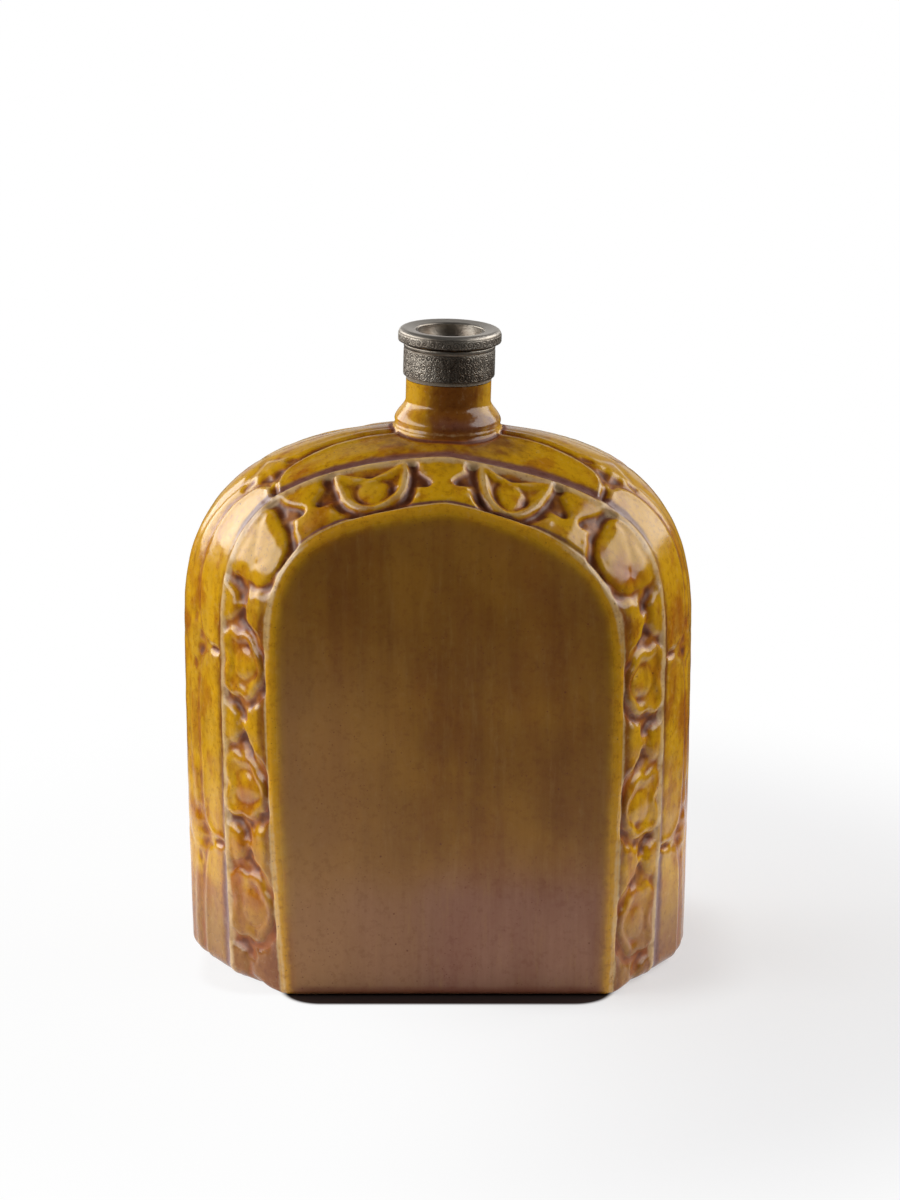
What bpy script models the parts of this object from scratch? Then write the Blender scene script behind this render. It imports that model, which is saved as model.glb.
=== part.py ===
"""Moulded ceramic flask with a metal pouring mount, modelled as its separate pieces.

The body is two press-moulded half shells, joined along an upright seam over a let-in base slab.
Rolls of soft clay press the joints home on the inside.  A turned neck is luted to the shoulder,
and a metal mount of sleeve, lip and throat liner is bedded on the neck.

Units are metres, +Z is up, and the flat panel of the front faces -Y.  The origin is the middle
of the base, on the ground.
"""

from dataclasses import dataclass
from math import cos, hypot, pi, radians, sin

import bpy
import bmesh
from mathutils import Vector

# Clearances and overruns
CLEARANCE = 0.0003
OVERRUN = 0.010

# Body, without its neck
BODY_WIDTH = 0.2128
BODY_DEPTH = 0.1220
BODY_HEIGHT = 0.2302
WALL = 0.006
PANEL_EDGE_SOFTENING = 0.0016
RIB_SOFTENING = 0.0012
FOOT_SOFTENING = 0.0022

# Relief on the border between the panel and the rib
BLOSSOM_HALF_LENGTH = 0.0142
GROOVE_DEPTH = 0.0017
POCKET_DEPTH = 0.0010
RELIEF_OVERRUN = 0.0010

# Base slab
SLAB_RECESS = 0.0015
SLAB_THICKNESS = 0.008

# Rolls of clay along the inner joints
SEAM_COIL_WIDTH = 0.016
SEAM_COIL_HEIGHT = 0.004
BASE_COIL_WIDTH = 0.006
BASE_COIL_HEIGHT = 0.006
NECK_COIL_WIDTH = 0.006

# Neck
NECK_OFFSET = 0.004
NECK_SEAT_DROP = 0.0026
NECK_LEAN = radians(1.5)
NECK_RADIUS = 0.0176
NECK_FLARE = 0.0070
NECK_BEAD = 0.00225
NECK_TURN = radians(60)
NECK_SKIRT = 0.0060
NECK_BORE = 0.0110
NECK_SPIGOT_RADIUS = 0.0155
NECK_SPIGOT_REACH = 0.0060
NECK_TOP = 0.0343

# Metal mount
SLEEVE_BOTTOM = 0.0208
SLEEVE_TOP = 0.0356
SLEEVE_RADIUS = 0.0189
SLEEVE_METAL = 0.0009
SLEEVE_BEAD = 0.0011
SLEEVE_BEAD_REACH = 0.0003
BEDDING_THICKNESS = 0.0008
LIP_THICKNESS = 0.0060
LIP_RADIUS = 0.0213
LIP_EDGE = 0.0022
LIP_MOUTH_RADIUS = 0.0140
LINER_METAL = 0.0008
LINER_LENGTH = 0.0300
LINER_FLARE = 0.0050
LINER_SHORTFALL = 0.0010

# Fineness of the faceting
ARCH_STEPS = 20
STRAIGHT_STEPS = 5
STRAIGHT_STEPS_SHARE = 0.5
OUTLINE_SAMPLES = 60
FIELD_STEPS = 3
TURNED_STEPS = 40
SOFTENING_STEPS = 2
ARC_STEPS = 4

# Roundness of a softened edge, and how far from level a face at the foot counts as a wall
ROUND_PROFILE = 0.5
WALL_SLOPE = 0.5

# Exponent of the pointed rise at the crown, and of the narrowing towards the foot
CROWN_POINT_POWER = 1.5
FOOT_TAPER_POWER = 2.0

# How far from the crown the side line leaves the neck, and where it has its full depth,
# as shares of the way from the crown down to the foot
CROWN_LEAVE_SHARE = 0.08
CROWN_FULL_SHARE = 0.25

# Where the blossoms lie on the left and right, as shares of the way from the crown to the foot
LEFT_BLOSSOM_SHARES = (0.108, 0.305, 0.488, 0.683, 0.871)
RIGHT_BLOSSOM_SHARES = (0.103, 0.307, 0.504, 0.703, 0.894)

# The edges of half a blossom's groove, and one pocket beside it, each place as a share of the
# blossom's half length along the border and a share of the border's width out from the panel
GROOVE_INNER_SHARES = (
    (0.0, 0.15), (0.37, 0.18), (0.68, 0.29), (0.89, 0.45), (0.97, 0.63), (1.0, 0.93))
GROOVE_OUTER_SHARES = (
    (0.0, 0.07), (0.50, 0.09), (0.92, 0.19), (1.13, 0.38), (1.21, 0.60), (1.24, 0.93))
POCKET_SHARES = ((1.12, 0.90), (1.53, 0.57), (1.12, 0.46))

# Where a groove's floor starts and ends between its edges, and how far in a pocket's floor lies
GROOVE_FLOOR_SHARES = (0.28, 0.55)
POCKET_FLOOR_SHARE = 0.35

# Rounds of fitting a place square across the border, and the step that its slope is read over
SQUARING_ROUNDS = 4
SLOPE_SHARE = 0.002


@dataclass(frozen=True)
class Side:
    """One side of an arch outline, left or right of its crown.

    The inset is how far the outline stands in from the body's widest.
    """

    inset: float
    foot_taper: float
    crown_point: float
    fullness: float

    @property
    def reach(self):
        """Distance from the outline's middle to its widest."""
        return BODY_WIDTH / 2 - self.inset


@dataclass(frozen=True)
class Section:
    """An arch outline of the body, standing a given depth in front of the seam.

    Its crown stands a drop below the body's top, and its arch has a rise of its own.
    """

    depth: float
    crown_depth: float
    middle: float
    drop: float
    rise: float
    left: Side
    right: Side

    def side(self, sign):
        """Its left side for a sign of -1, its right side for 1."""
        return self.left if sign < 0 else self.right

    @property
    def crown(self):
        """Height of the top of the arch."""
        return BODY_HEIGHT - self.drop

    @property
    def springing(self):
        """Height at which the arch springs from the straight sides."""
        return self.crown - self.rise


PANEL = Section(
    depth=BODY_DEPTH / 2, crown_depth=BODY_DEPTH / 2, middle=0.0029, drop=0.0199, rise=0.0693,
    left=Side(inset=0.0338, foot_taper=0.0055, crown_point=0.0075, fullness=3.2),
    right=Side(inset=0.0338, foot_taper=0.0035, crown_point=0.0113, fullness=2.6),
)
RIB = Section(
    depth=0.0385, crown_depth=0.0385, middle=0.0030, drop=0.0065, rise=0.0797,
    left=Side(inset=0.0151, foot_taper=0.0022, crown_point=0.0052, fullness=3.0),
    right=Side(inset=0.0168, foot_taper=0.0033, crown_point=0.0134, fullness=3.15),
)
SIDE_LINE = Section(
    depth=0.0190, crown_depth=0.0100, middle=0.0025, drop=0.0006, rise=0.0886,
    left=Side(inset=0.0047, foot_taper=0.0015, crown_point=0.0060, fullness=2.85),
    right=Side(inset=0.0054, foot_taper=0.0020, crown_point=0.0070, fullness=2.8),
)
SEAM = Section(
    depth=0.0, crown_depth=0.0, middle=0.0, drop=0.0, rise=0.0912,
    left=Side(inset=0.0, foot_taper=0.0016, crown_point=0.0045, fullness=2.75),
    right=Side(inset=0.0, foot_taper=0.0016, crown_point=0.0045, fullness=2.75),
)


def clear_scene():
    """Remove whatever the scene holds."""
    for old in list(bpy.data.objects):
        bpy.data.objects.remove(old, do_unlink=True)


def smooth_share(value):
    """Ease a share from 0 to 1, and hold it outside."""
    held = min(max(value, 0.0), 1.0)
    return held * held * (3 - 2 * held)


def outline_height(section, side, across):
    """Height of the arch where it is the given share of its reach from the middle."""
    rounded = section.rise - side.crown_point
    round_rise = rounded * (1 - across ** side.fullness) ** (1 / side.fullness)
    return section.springing + round_rise + side.crown_point * (1 - across) ** CROWN_POINT_POWER


def side_curve(section, side):
    """Many (distance from the middle, height) points of one side, from the ground to the crown."""
    points = []
    for step in range(OUTLINE_SAMPLES):
        up = step / OUTLINE_SAMPLES
        taper = side.foot_taper * (1 - up) ** FOOT_TAPER_POWER
        points.append((side.reach - taper, section.springing * up))
    for step in range(OUTLINE_SAMPLES + 1):
        turn = pi / 2 * step / OUTLINE_SAMPLES
        power = side.fullness
        length = (cos(turn) ** power + sin(turn) ** power) ** (-1 / power)
        across = min(length * cos(turn), 1.0) if step < OUTLINE_SAMPLES else 0.0
        points.append((side.reach * across, outline_height(section, side, across)))
    return points


def point_shares():
    """Where the outline's columns lie, as shares of the way from the foot to the crown."""
    low = STRAIGHT_STEPS_SHARE
    straight = [low * step / STRAIGHT_STEPS for step in range(STRAIGHT_STEPS)]
    arch = [low + (1 - low) * step / ARCH_STEPS for step in range(ARCH_STEPS + 1)]
    return straight + arch


def walk(points, share):
    """The point at a share of a polyline's length."""
    lengths = [hypot(b[0] - a[0], b[1] - a[1]) for a, b in zip(points, points[1:])]
    left_to_go = share * sum(lengths)
    for (start, end), length in zip(zip(points, points[1:]), lengths):
        if left_to_go <= length:
            along = left_to_go / length
            return (start[0] + (end[0] - start[0]) * along, start[1] + (end[1] - start[1]) * along)
        left_to_go -= length
    return points[-1]


def depth_at(section, from_crown):
    """Depth of an outline at a share of the way from its crown to its foot."""
    eased = smooth_share(
        (from_crown - CROWN_LEAVE_SHARE) / (CROWN_FULL_SHARE - CROWN_LEAVE_SHARE))
    return section.crown_depth + (section.depth - section.crown_depth) * eased


def ring_points(section, facing):
    """The outline from the left foot over the crown to the right foot, as (x, y, z) points."""
    upward = point_shares()
    points = []
    for sign, side, shares in ((-1, section.left, upward), (1, section.right, upward[-2::-1])):
        curve = side_curve(section, side)
        for share in shares:
            distance, height = walk(curve, share)
            depth = depth_at(section, 1 - share)
            points.append((section.middle + sign * distance, facing * depth, height))
    return points


def mixed_ring(start, end, start_weight, end_weight):
    """A ring between two others, weighted apart in depth and in reach."""
    ring = []
    for (x0, y0, z0), (x1, y1, z1) in zip(start, end):
        x = x0 + (x1 - x0) * end_weight
        z = z0 + (z1 - z0) * end_weight
        ring.append((x, y0 + (y1 - y0) * start_weight, z))
    return ring


def half_rings(facing):
    """The rings of one half, from its flat panel to the seam."""
    panel, rib, side_line, seam = (
        ring_points(section, facing) for section in (PANEL, RIB, SIDE_LINE, SEAM))
    rings = [panel, rib, side_line]
    for step in range(1, FIELD_STEPS):
        share = step / FIELD_STEPS
        rings.append(mixed_ring(side_line, seam, share, sin(share * pi / 2)))
    return rings + [seam]


class Border:
    """The chamfered border between the panel and the rib, on one side of one half."""

    def __init__(self, sign, facing):
        """Take the border's two outlines, and the length of the line midway between them."""
        self.sign = sign
        self.facing = facing
        self.outlines = [(section, side_curve(section, section.side(sign))) for section in (PANEL, RIB)]
        middles = [self.point(step / OUTLINE_SAMPLES, 0.5) for step in range(OUTLINE_SAMPLES + 1)]
        self.length = sum((b - a).length for a, b in zip(middles, middles[1:]))

    def point(self, share, across):
        """The point at a share of the way up, and a share of the width out from the panel."""
        ends = []
        for section, curve in self.outlines:
            distance, height = walk(curve, min(max(share, 0.0), 1.0))
            depth = self.facing * depth_at(section, 1 - share)
            ends.append(Vector((section.middle + self.sign * distance, depth, height)))
        return ends[0].lerp(ends[1], across)

    def slope(self, share, across):
        """How the point moves with the share."""
        above = self.point(share + SLOPE_SHARE, across)
        return (above - self.point(share - SLOPE_SHARE, across)) / (2 * SLOPE_SHARE)

    def laid(self, share, across, lift):
        """The point square across from the middle line at a share, lifted off the border."""
        middle = self.point(share, 0.5)
        run = self.slope(share, 0.5)
        squared = share
        for _ in range(SQUARING_ROUNDS):
            squared -= (self.point(squared, across) - middle).dot(run) / run.length_squared
        outward = self.slope(squared, across).cross(self.point(squared, 1) - self.point(squared, 0))
        outward.normalize()
        if outward.y * self.facing < 0:
            outward.negate()
        return self.point(squared, across) + outward * lift


def between(start, end, share):
    """The place at a share of the way between two, or beyond them."""
    return tuple(a + (b - a) * share for a, b in zip(start, end))


def groove_rings():
    """Cross sections of a blossom's groove, each a ring of (place, lift) pairs."""
    above = RELIEF_OVERRUN / GROOVE_DEPTH
    start, end = GROOVE_FLOOR_SHARES
    rings = []
    for inner, outer in zip(mirrored(GROOVE_INNER_SHARES), mirrored(GROOVE_OUTER_SHARES)):
        near, far = between(inner, outer, start), between(inner, outer, end)
        rings.append([
            (between(inner, near, -above), RELIEF_OVERRUN), (near, -GROOVE_DEPTH),
            (far, -GROOVE_DEPTH), (between(outer, far, -above), RELIEF_OVERRUN)])
    return rings


def pocket_rings(flip):
    """The top and the floor of a pocket, each a ring of (place, lift) pairs."""
    corners = [(flip * along, across) for along, across in POCKET_SHARES]
    middle = tuple(sum(values) / len(corners) for values in zip(*corners))
    above = POCKET_FLOOR_SHARE * RELIEF_OVERRUN / POCKET_DEPTH
    top = [(between(corner, middle, -above), RELIEF_OVERRUN) for corner in corners]
    floor = [(between(corner, middle, POCKET_FLOOR_SHARE), -POCKET_DEPTH) for corner in corners]
    return [top, floor]


def mirrored(half):
    """A run of places and its mirror image, from one end to the other."""
    return [(-along, across) for along, across in half[:0:-1]] + list(half)


def add_tube(builder, rings):
    """Add a closed form through rings of points."""
    rows = [[builder.verts.new(point) for point in ring] for ring in rings]
    for near, far in zip(rows, rows[1:]):
        for column in range(len(near)):
            builder.faces.new((near[column - 1], near[column], far[column], far[column - 1]))
    builder.faces.new(rows[0])
    builder.faces.new(rows[-1])


def make_relief(name, facing, forms):
    """A cutter that presses flat-drawn forms into the border beside every blossom."""
    builder = bmesh.new()
    for sign, places in ((-1, LEFT_BLOSSOM_SHARES), (1, RIGHT_BLOSSOM_SHARES)):
        border = Border(sign, facing)
        for place in places:
            for rings in forms:
                add_tube(builder, [
                    [border.laid(
                        1 - place - along * BLOSSOM_HALF_LENGTH / border.length, across, lift)
                     for (along, across), lift in ring]
                    for ring in rings])
    bmesh.ops.recalc_face_normals(builder, faces=builder.faces)
    return guide(name, builder)


def new_object(name, mesh_builder, look):
    """Make a mesh object from a bmesh and give it its material."""
    mesh = bpy.data.meshes.new(name)
    mesh_builder.to_mesh(mesh)
    mesh_builder.free()
    mesh.materials.append(material(*look))
    obj = bpy.data.objects.new(name, mesh)
    bpy.context.scene.collection.objects.link(obj)
    return obj


def material(name, colour, roughness, metallic):
    """A plain finish."""
    made = bpy.data.materials.new(name)
    made.use_nodes = True
    shader = made.node_tree.nodes["Principled BSDF"]
    shader.inputs["Base Color"].default_value = (*colour, 1.0)
    shader.inputs["Roughness"].default_value = roughness
    shader.inputs["Metallic"].default_value = metallic
    return made


GLAZED = ("glazed_clay", (0.40, 0.19, 0.03), 0.15, 0.0)
FIRED = ("fired_clay", (0.55, 0.42, 0.28), 0.80, 0.0)
METAL = ("engraved_metal", (0.20, 0.17, 0.14), 0.35, 1.0)
BEDDING = ("bedding", (0.35, 0.31, 0.26), 0.90, 0.0)
GUIDE = ("guide", (0.50, 0.50, 0.50), 0.50, 0.0)


def lofted(rings):
    """A closed solid through rings that all stand on the same level."""
    builder = bmesh.new()
    rows = [[builder.verts.new(point) for point in ring] for ring in rings]
    for near, far in zip(rows, rows[1:]):
        for column in range(len(near) - 1):
            builder.faces.new((near[column], near[column + 1], far[column + 1], far[column]))
    builder.faces.new(list(reversed(rows[0])))
    builder.faces.new(rows[-1])
    builder.faces.new([row[0] for row in rows] + [row[-1] for row in reversed(rows)])
    bmesh.ops.recalc_face_normals(builder, faces=builder.faces)
    return builder, rows


def inner_form(inset):
    """The whole body drawn in by the inset, and run on below the ground."""
    rings = half_rings(-1) + half_rings(1)[-2::-1]
    for ring in rings:
        for end in (0, -1):
            x, y, _z = ring[end]
            ring[end] = (x, y, -OVERRUN - inset)
    builder, _rows = lofted(rings)
    shrink(builder, inset)
    return builder


def half_form(facing):
    """One half of the body as a closed solid, with its creases and its foot softened."""
    rings = half_rings(facing)
    rings[-1] = [(x, facing * CLEARANCE / 2, z) for x, _y, z in rings[-1]]
    builder, rows = lofted(rings)
    for row, width in ((rows[1], RIB_SOFTENING), (rows[0], PANEL_EDGE_SOFTENING)):
        soften(builder, [builder.edges.get(pair) for pair in zip(row, row[1:])], width)
    soften(builder, [edge for edge in builder.edges if is_foot(edge)], FOOT_SOFTENING)
    return builder


def is_foot(edge):
    """Whether an edge runs round the foot, away from the seam."""
    on_ground = all(abs(vert.co.z) < CLEARANCE for vert in edge.verts)
    at_seam = all(abs(vert.co.y) < CLEARANCE for vert in edge.verts)
    beside_wall = any(abs(face.normal.z) < WALL_SLOPE for face in edge.link_faces)
    return on_ground and not at_seam and beside_wall


def soften(builder, edges, width):
    """Round a run of edges."""
    bmesh.ops.bevel(
        builder, geom=edges, offset=width, segments=SOFTENING_STEPS, profile=ROUND_PROFILE,
        affect='EDGES', clamp_overlap=True)


def shrink(builder, inset):
    """Draw a closed form in by an even amount, or swell it where the amount is negative."""
    builder.normal_update()
    moves = [(vert, vert.normal * inset * vert.calc_shell_factor()) for vert in builder.verts]
    for vert, move in moves:
        vert.co -= move


def box(name, low, high):
    """A guide box between two corners."""
    builder = bmesh.new()
    bmesh.ops.create_cube(builder, size=1.0)
    size = [top - bottom for bottom, top in zip(low, high)]
    middle = [(top + bottom) / 2 for bottom, top in zip(low, high)]
    bmesh.ops.scale(builder, vec=size, verts=builder.verts)
    bmesh.ops.translate(builder, vec=middle, verts=builder.verts)
    return guide(name, builder)


def turned(profile, hollow=True):
    """A (radius, height) profile turned round the upright axis; a solid one ends on the axis."""
    builder = bmesh.new()
    verts = [builder.verts.new((radius, 0.0, height)) for radius, height in profile]
    ends = verts[1:] + verts[:1] if hollow else verts[1:]
    edges = [builder.edges.new(pair) for pair in zip(verts, ends)]
    bmesh.ops.spin(
        builder, geom=verts + edges, cent=(0, 0, 0), axis=(0, 0, 1), angle=2 * pi,
        steps=TURNED_STEPS, use_merge=True)
    bmesh.ops.remove_doubles(builder, verts=builder.verts, dist=CLEARANCE / 10)
    bmesh.ops.recalc_face_normals(builder, faces=builder.faces)
    return builder


def guide(name, builder):
    """A cutter, left out of the finished part."""
    obj = new_object(name, builder, GUIDE)
    obj.hide_render = True
    obj.display_type = 'WIRE'
    return obj


def cut(obj, other, operation='DIFFERENCE'):
    """Cut an object by another, or keep what the two share."""
    modifier = obj.modifiers.new(other.name, 'BOOLEAN')
    modifier.operation = operation
    modifier.solver = 'EXACT'
    modifier.object = other


def smooth(obj):
    """Shade a round piece smooth between its sharp edges."""
    obj.data.shade_smooth()
    obj.data.set_sharp_from_angle(angle=radians(35))


def arc(centre_radius, centre_height, radius, start, end):
    """Points of an arc in the (radius, height) plane between two angles."""
    turns = [start + (end - start) * step / ARC_STEPS for step in range(ARC_STEPS + 1)]
    return [(centre_radius + radius * cos(t), centre_height + radius * sin(t)) for t in turns]


def make_neck_axis():
    """The leaning axis that carries the neck and its mount."""
    axis = bpy.data.objects.new("neck_axis", None)
    axis.location = (NECK_OFFSET, 0, BODY_HEIGHT - NECK_SEAT_DROP)
    axis.rotation_euler = (0, NECK_LEAN, 0)
    bpy.context.scene.collection.objects.link(axis)
    return axis


def on_axis(obj, axis):
    """Carry a piece on the neck's axis."""
    obj.parent = axis
    return obj


def spigot_bottom():
    """How low the neck's spigot reaches on its axis."""
    return -WALL - NECK_SPIGOT_REACH


def make_guides(axis):
    """The forms that shape more than one of the body's pieces."""
    hole_radius = NECK_SPIGOT_RADIUS + CLEARANCE
    hole_bottom = spigot_bottom() - OVERRUN
    hole = turned(
        [(0, hole_bottom), (hole_radius, hole_bottom), (hole_radius, OVERRUN), (0, OVERRUN)],
        hollow=False)
    guides = {
        "cavity": guide("cavity", inner_form(WALL)),
        "room": guide("room", inner_form(WALL + CLEARANCE)),
        "shoulder": guide("shoulder", inner_form(-CLEARANCE)),
        "hole": on_axis(guide("hole", hole), axis),
    }
    cut(guides["shoulder"], guides["hole"])
    return guides


def make_shells(guides):
    """The two press-moulded halves, which meet at the seam."""
    for name, facing in (("front_shell", -1), ("back_shell", 1)):
        shell = new_object(name, half_form(facing), GLAZED)
        cut(shell, make_relief(name + "_grooves", facing, [groove_rings()]))
        cut(shell, make_relief(name + "_pockets", facing, [pocket_rings(-1), pocket_rings(1)]))
        cut(shell, guides["cavity"])
        cut(shell, guides["hole"])
        smooth(shell)


def layer(name, bottom, top):
    """A guide slice across the whole body between two heights."""
    reach = BODY_WIDTH / 2 + OVERRUN
    depth = BODY_DEPTH / 2 + OVERRUN
    return box(name, (-reach, -depth, bottom), (reach, depth, top))


def make_base():
    """The slab let in between the walls, and the roll of clay round its upper edge."""
    slab_top = SLAB_RECESS + SLAB_THICKNESS
    slab = new_object("base_slab", inner_form(WALL + CLEARANCE), FIRED)
    cut(slab, layer("slab_slice", SLAB_RECESS, slab_top), 'INTERSECT')

    coil_bottom = slab_top + CLEARANCE
    coil = new_object("base_coil", inner_form(WALL + CLEARANCE), FIRED)
    cut(coil, layer("coil_slice", coil_bottom, coil_bottom + BASE_COIL_HEIGHT), 'INTERSECT')
    cut(coil, guide("coil_middle", inner_form(WALL + CLEARANCE + BASE_COIL_WIDTH)))
    return coil_bottom + BASE_COIL_HEIGHT


def make_seam_coils(floor):
    """The rolls of clay pressed along the inside of the seam, left and right of the neck."""
    bottom = floor + CLEARANCE
    neck_room = NECK_SPIGOT_RADIUS + NECK_COIL_WIDTH + 3 * CLEARANCE
    core = guide("seam_core", inner_form(WALL + CLEARANCE + SEAM_COIL_HEIGHT))
    reach = BODY_WIDTH / 2 + OVERRUN
    top = BODY_HEIGHT + OVERRUN
    half = SEAM_COIL_WIDTH / 2
    spans = {
        "seam_coil_left": (-reach, NECK_OFFSET - neck_room),
        "seam_coil_right": (NECK_OFFSET + neck_room, reach),
    }
    for name, (start, end) in spans.items():
        coil = new_object(name, inner_form(WALL + CLEARANCE), FIRED)
        cut(coil, box(name + "_span", (start, -half, bottom), (end, half, top)), 'INTERSECT')
        cut(coil, core)


def liner_reach(height):
    """Outer radius of the throat liner at a height: straight below, flared up to the lip."""
    tube = NECK_BORE - CLEARANCE
    mouth = LIP_MOUTH_RADIUS - CLEARANCE
    flared = (height - liner_flare_bottom()) / LINER_FLARE
    return tube + (mouth - tube) * min(max(flared, 0.0), 1.0)


def lip_bottom():
    """Height of the lip's underside on the sleeve."""
    return SLEEVE_TOP + CLEARANCE


def liner_flare_bottom():
    """Height at which the throat liner starts to flare."""
    return lip_bottom() - LINER_FLARE


def make_neck(guides, axis):
    """The turned neck: a flared foot on the shoulder, a spigot through it, a step for the mount."""
    step_height = SLEEVE_BOTTOM - CLEARANCE
    step_radius = sleeve_bore() - CLEARANCE - BEDDING_THICKNESS - CLEARANCE
    foot_radius = NECK_RADIUS + (NECK_FLARE + NECK_BEAD) * (1 - cos(NECK_TURN))
    flare_top = NECK_BEAD + (NECK_BEAD + NECK_FLARE) * sin(NECK_TURN)
    bead = arc(foot_radius - NECK_BEAD, NECK_BEAD, NECK_BEAD, 0, NECK_TURN)
    flare = arc(NECK_RADIUS + NECK_FLARE, flare_top, NECK_FLARE, pi + NECK_TURN, pi)
    neck = new_object("neck", turned(
        [(NECK_SPIGOT_RADIUS, spigot_bottom()), (NECK_SPIGOT_RADIUS, -NECK_SKIRT),
         (foot_radius, -NECK_SKIRT)]
        + bead + flare[1:]
        + [(NECK_RADIUS, step_height), (step_radius, step_height), (step_radius, NECK_TOP),
           (liner_reach(NECK_TOP) + CLEARANCE, NECK_TOP), (NECK_BORE, liner_flare_bottom()),
           (NECK_BORE, spigot_bottom())]), GLAZED)
    on_axis(neck, axis)
    cut(neck, guides["shoulder"])
    smooth(neck)

    coil_inner = NECK_SPIGOT_RADIUS + CLEARANCE
    coil_outer = coil_inner + NECK_COIL_WIDTH
    coil = new_object("neck_coil", turned([
        (coil_inner, spigot_bottom()), (coil_outer, spigot_bottom()),
        (coil_outer, 0), (coil_inner, 0)]), FIRED)
    on_axis(coil, axis)
    cut(coil, guides["room"], 'INTERSECT')


def sleeve_bore():
    """Inner radius of the mount's sleeve."""
    return SLEEVE_RADIUS - SLEEVE_METAL


def make_mount(axis):
    """The metal mount and the bedding that holds it."""
    bore = sleeve_bore()
    bead_radius = SLEEVE_RADIUS + SLEEVE_BEAD_REACH
    sleeve = new_object("mount_sleeve", turned([
        (bore, SLEEVE_BOTTOM),
        (bead_radius, SLEEVE_BOTTOM), (bead_radius, SLEEVE_BOTTOM + SLEEVE_BEAD),
        (SLEEVE_RADIUS, SLEEVE_BOTTOM + SLEEVE_BEAD + SLEEVE_BEAD_REACH),
        (SLEEVE_RADIUS, SLEEVE_TOP), (bore, SLEEVE_TOP)]), METAL)

    bedding_outer = bore - CLEARANCE
    bedding = new_object("neck_cement", turned([
        (bedding_outer - BEDDING_THICKNESS, SLEEVE_BOTTOM),
        (bedding_outer, SLEEVE_BOTTOM), (bedding_outer, NECK_TOP),
        (bedding_outer - BEDDING_THICKNESS, NECK_TOP)]), BEDDING)

    bottom = lip_bottom()
    lip_top = bottom + LIP_THICKNESS
    edge = arc(LIP_RADIUS - LIP_EDGE, bottom + LIP_EDGE, LIP_EDGE, -pi / 2, 0)
    edge += arc(LIP_RADIUS - LIP_EDGE, lip_top - LIP_EDGE, LIP_EDGE, 0, pi / 2)
    lip = new_object("mount_lip", turned(
        [(LIP_MOUTH_RADIUS, bottom)] + edge + [(LIP_MOUTH_RADIUS, lip_top)]), METAL)

    liner_top = lip_top - LINER_SHORTFALL
    liner_bottom = NECK_TOP - LINER_LENGTH
    outside = [
        (liner_reach(height), height)
        for height in (liner_bottom, liner_flare_bottom(), bottom, liner_top)]
    inside = [(radius - LINER_METAL, height) for radius, height in reversed(outside)]
    liner = new_object("mount_liner", turned(outside + inside), METAL)
    for piece in (sleeve, bedding, lip, liner):
        on_axis(piece, axis)
        smooth(piece)


def main():
    """Build every piece."""
    clear_scene()
    axis = make_neck_axis()
    guides = make_guides(axis)
    make_shells(guides)
    floor = make_base()
    make_seam_coils(floor)
    make_neck(guides, axis)
    make_mount(axis)


main()
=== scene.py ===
"""Looks of a moulded flask: amber glaze over a relief border, under an engraved metal mount.

Units are metres, +Z is up and the front panel faces -Y.  The sizes repeat those of the part.
Heights on the neck are measured on its own leaning axis.  The reliefs are drawn in millimetres.
"""

import logging
from dataclasses import dataclass
from enum import Enum
from math import cos, pi, radians, sin
from typing import Any

import bpy
import numpy as np
from mathutils import Matrix, Vector
from mathutils.bvhtree import BVHTree

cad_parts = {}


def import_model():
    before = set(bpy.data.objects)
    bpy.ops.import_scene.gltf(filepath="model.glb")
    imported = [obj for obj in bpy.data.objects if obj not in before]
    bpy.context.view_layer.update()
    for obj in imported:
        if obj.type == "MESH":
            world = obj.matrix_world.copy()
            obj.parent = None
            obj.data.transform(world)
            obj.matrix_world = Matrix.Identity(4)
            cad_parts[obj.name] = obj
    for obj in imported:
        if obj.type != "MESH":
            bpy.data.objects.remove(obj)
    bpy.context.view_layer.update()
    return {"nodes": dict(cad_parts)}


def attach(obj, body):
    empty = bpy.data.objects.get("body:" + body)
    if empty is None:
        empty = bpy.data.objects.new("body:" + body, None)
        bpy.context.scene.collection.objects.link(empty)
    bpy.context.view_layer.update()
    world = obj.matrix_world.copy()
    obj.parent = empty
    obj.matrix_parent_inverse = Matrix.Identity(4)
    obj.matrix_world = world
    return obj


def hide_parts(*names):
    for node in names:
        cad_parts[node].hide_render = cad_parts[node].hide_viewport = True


Array = np.ndarray
Colour = tuple[float, float, float, float]
Point = tuple[float, float]

LOG = logging.getLogger("flask")
MILLIMETRE = 0.001
BODY = "root"
MERGE_DISTANCE = 1e-6
TINY = 1e-12
GLAZE_MARKS = ("hollow", "crest", "panel", "low", "channel", "rim", "thick")


def paint(red: int, green: int, blue: int) -> Colour:
    """Turn a screen colour into the linear values that a shader takes.

    Args:
        red: Red, from 0 to 255.
        green: Green, from 0 to 255.
        blue: Blue, from 0 to 255.

    Returns:
        The linear colour, opaque.
    """
    shares = [value / 255 for value in (red, green, blue)]
    linear = [s / 12.92 if s <= 0.04045 else ((s + 0.055) / 1.055) ** 2.4 for s in shares]
    return (linear[0], linear[1], linear[2], 1.0)


def eased(value: Array) -> Array:
    """Ease values from 0 to 1, and hold them outside."""
    held = np.clip(value, 0.0, 1.0)
    return held * held * (3 - 2 * held)


def bump(distance: Array, width: float | Array) -> Array:
    """A rounded rise of height 1 whose strength fades over a width."""
    return np.exp(-((distance / width) ** 2))


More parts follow.
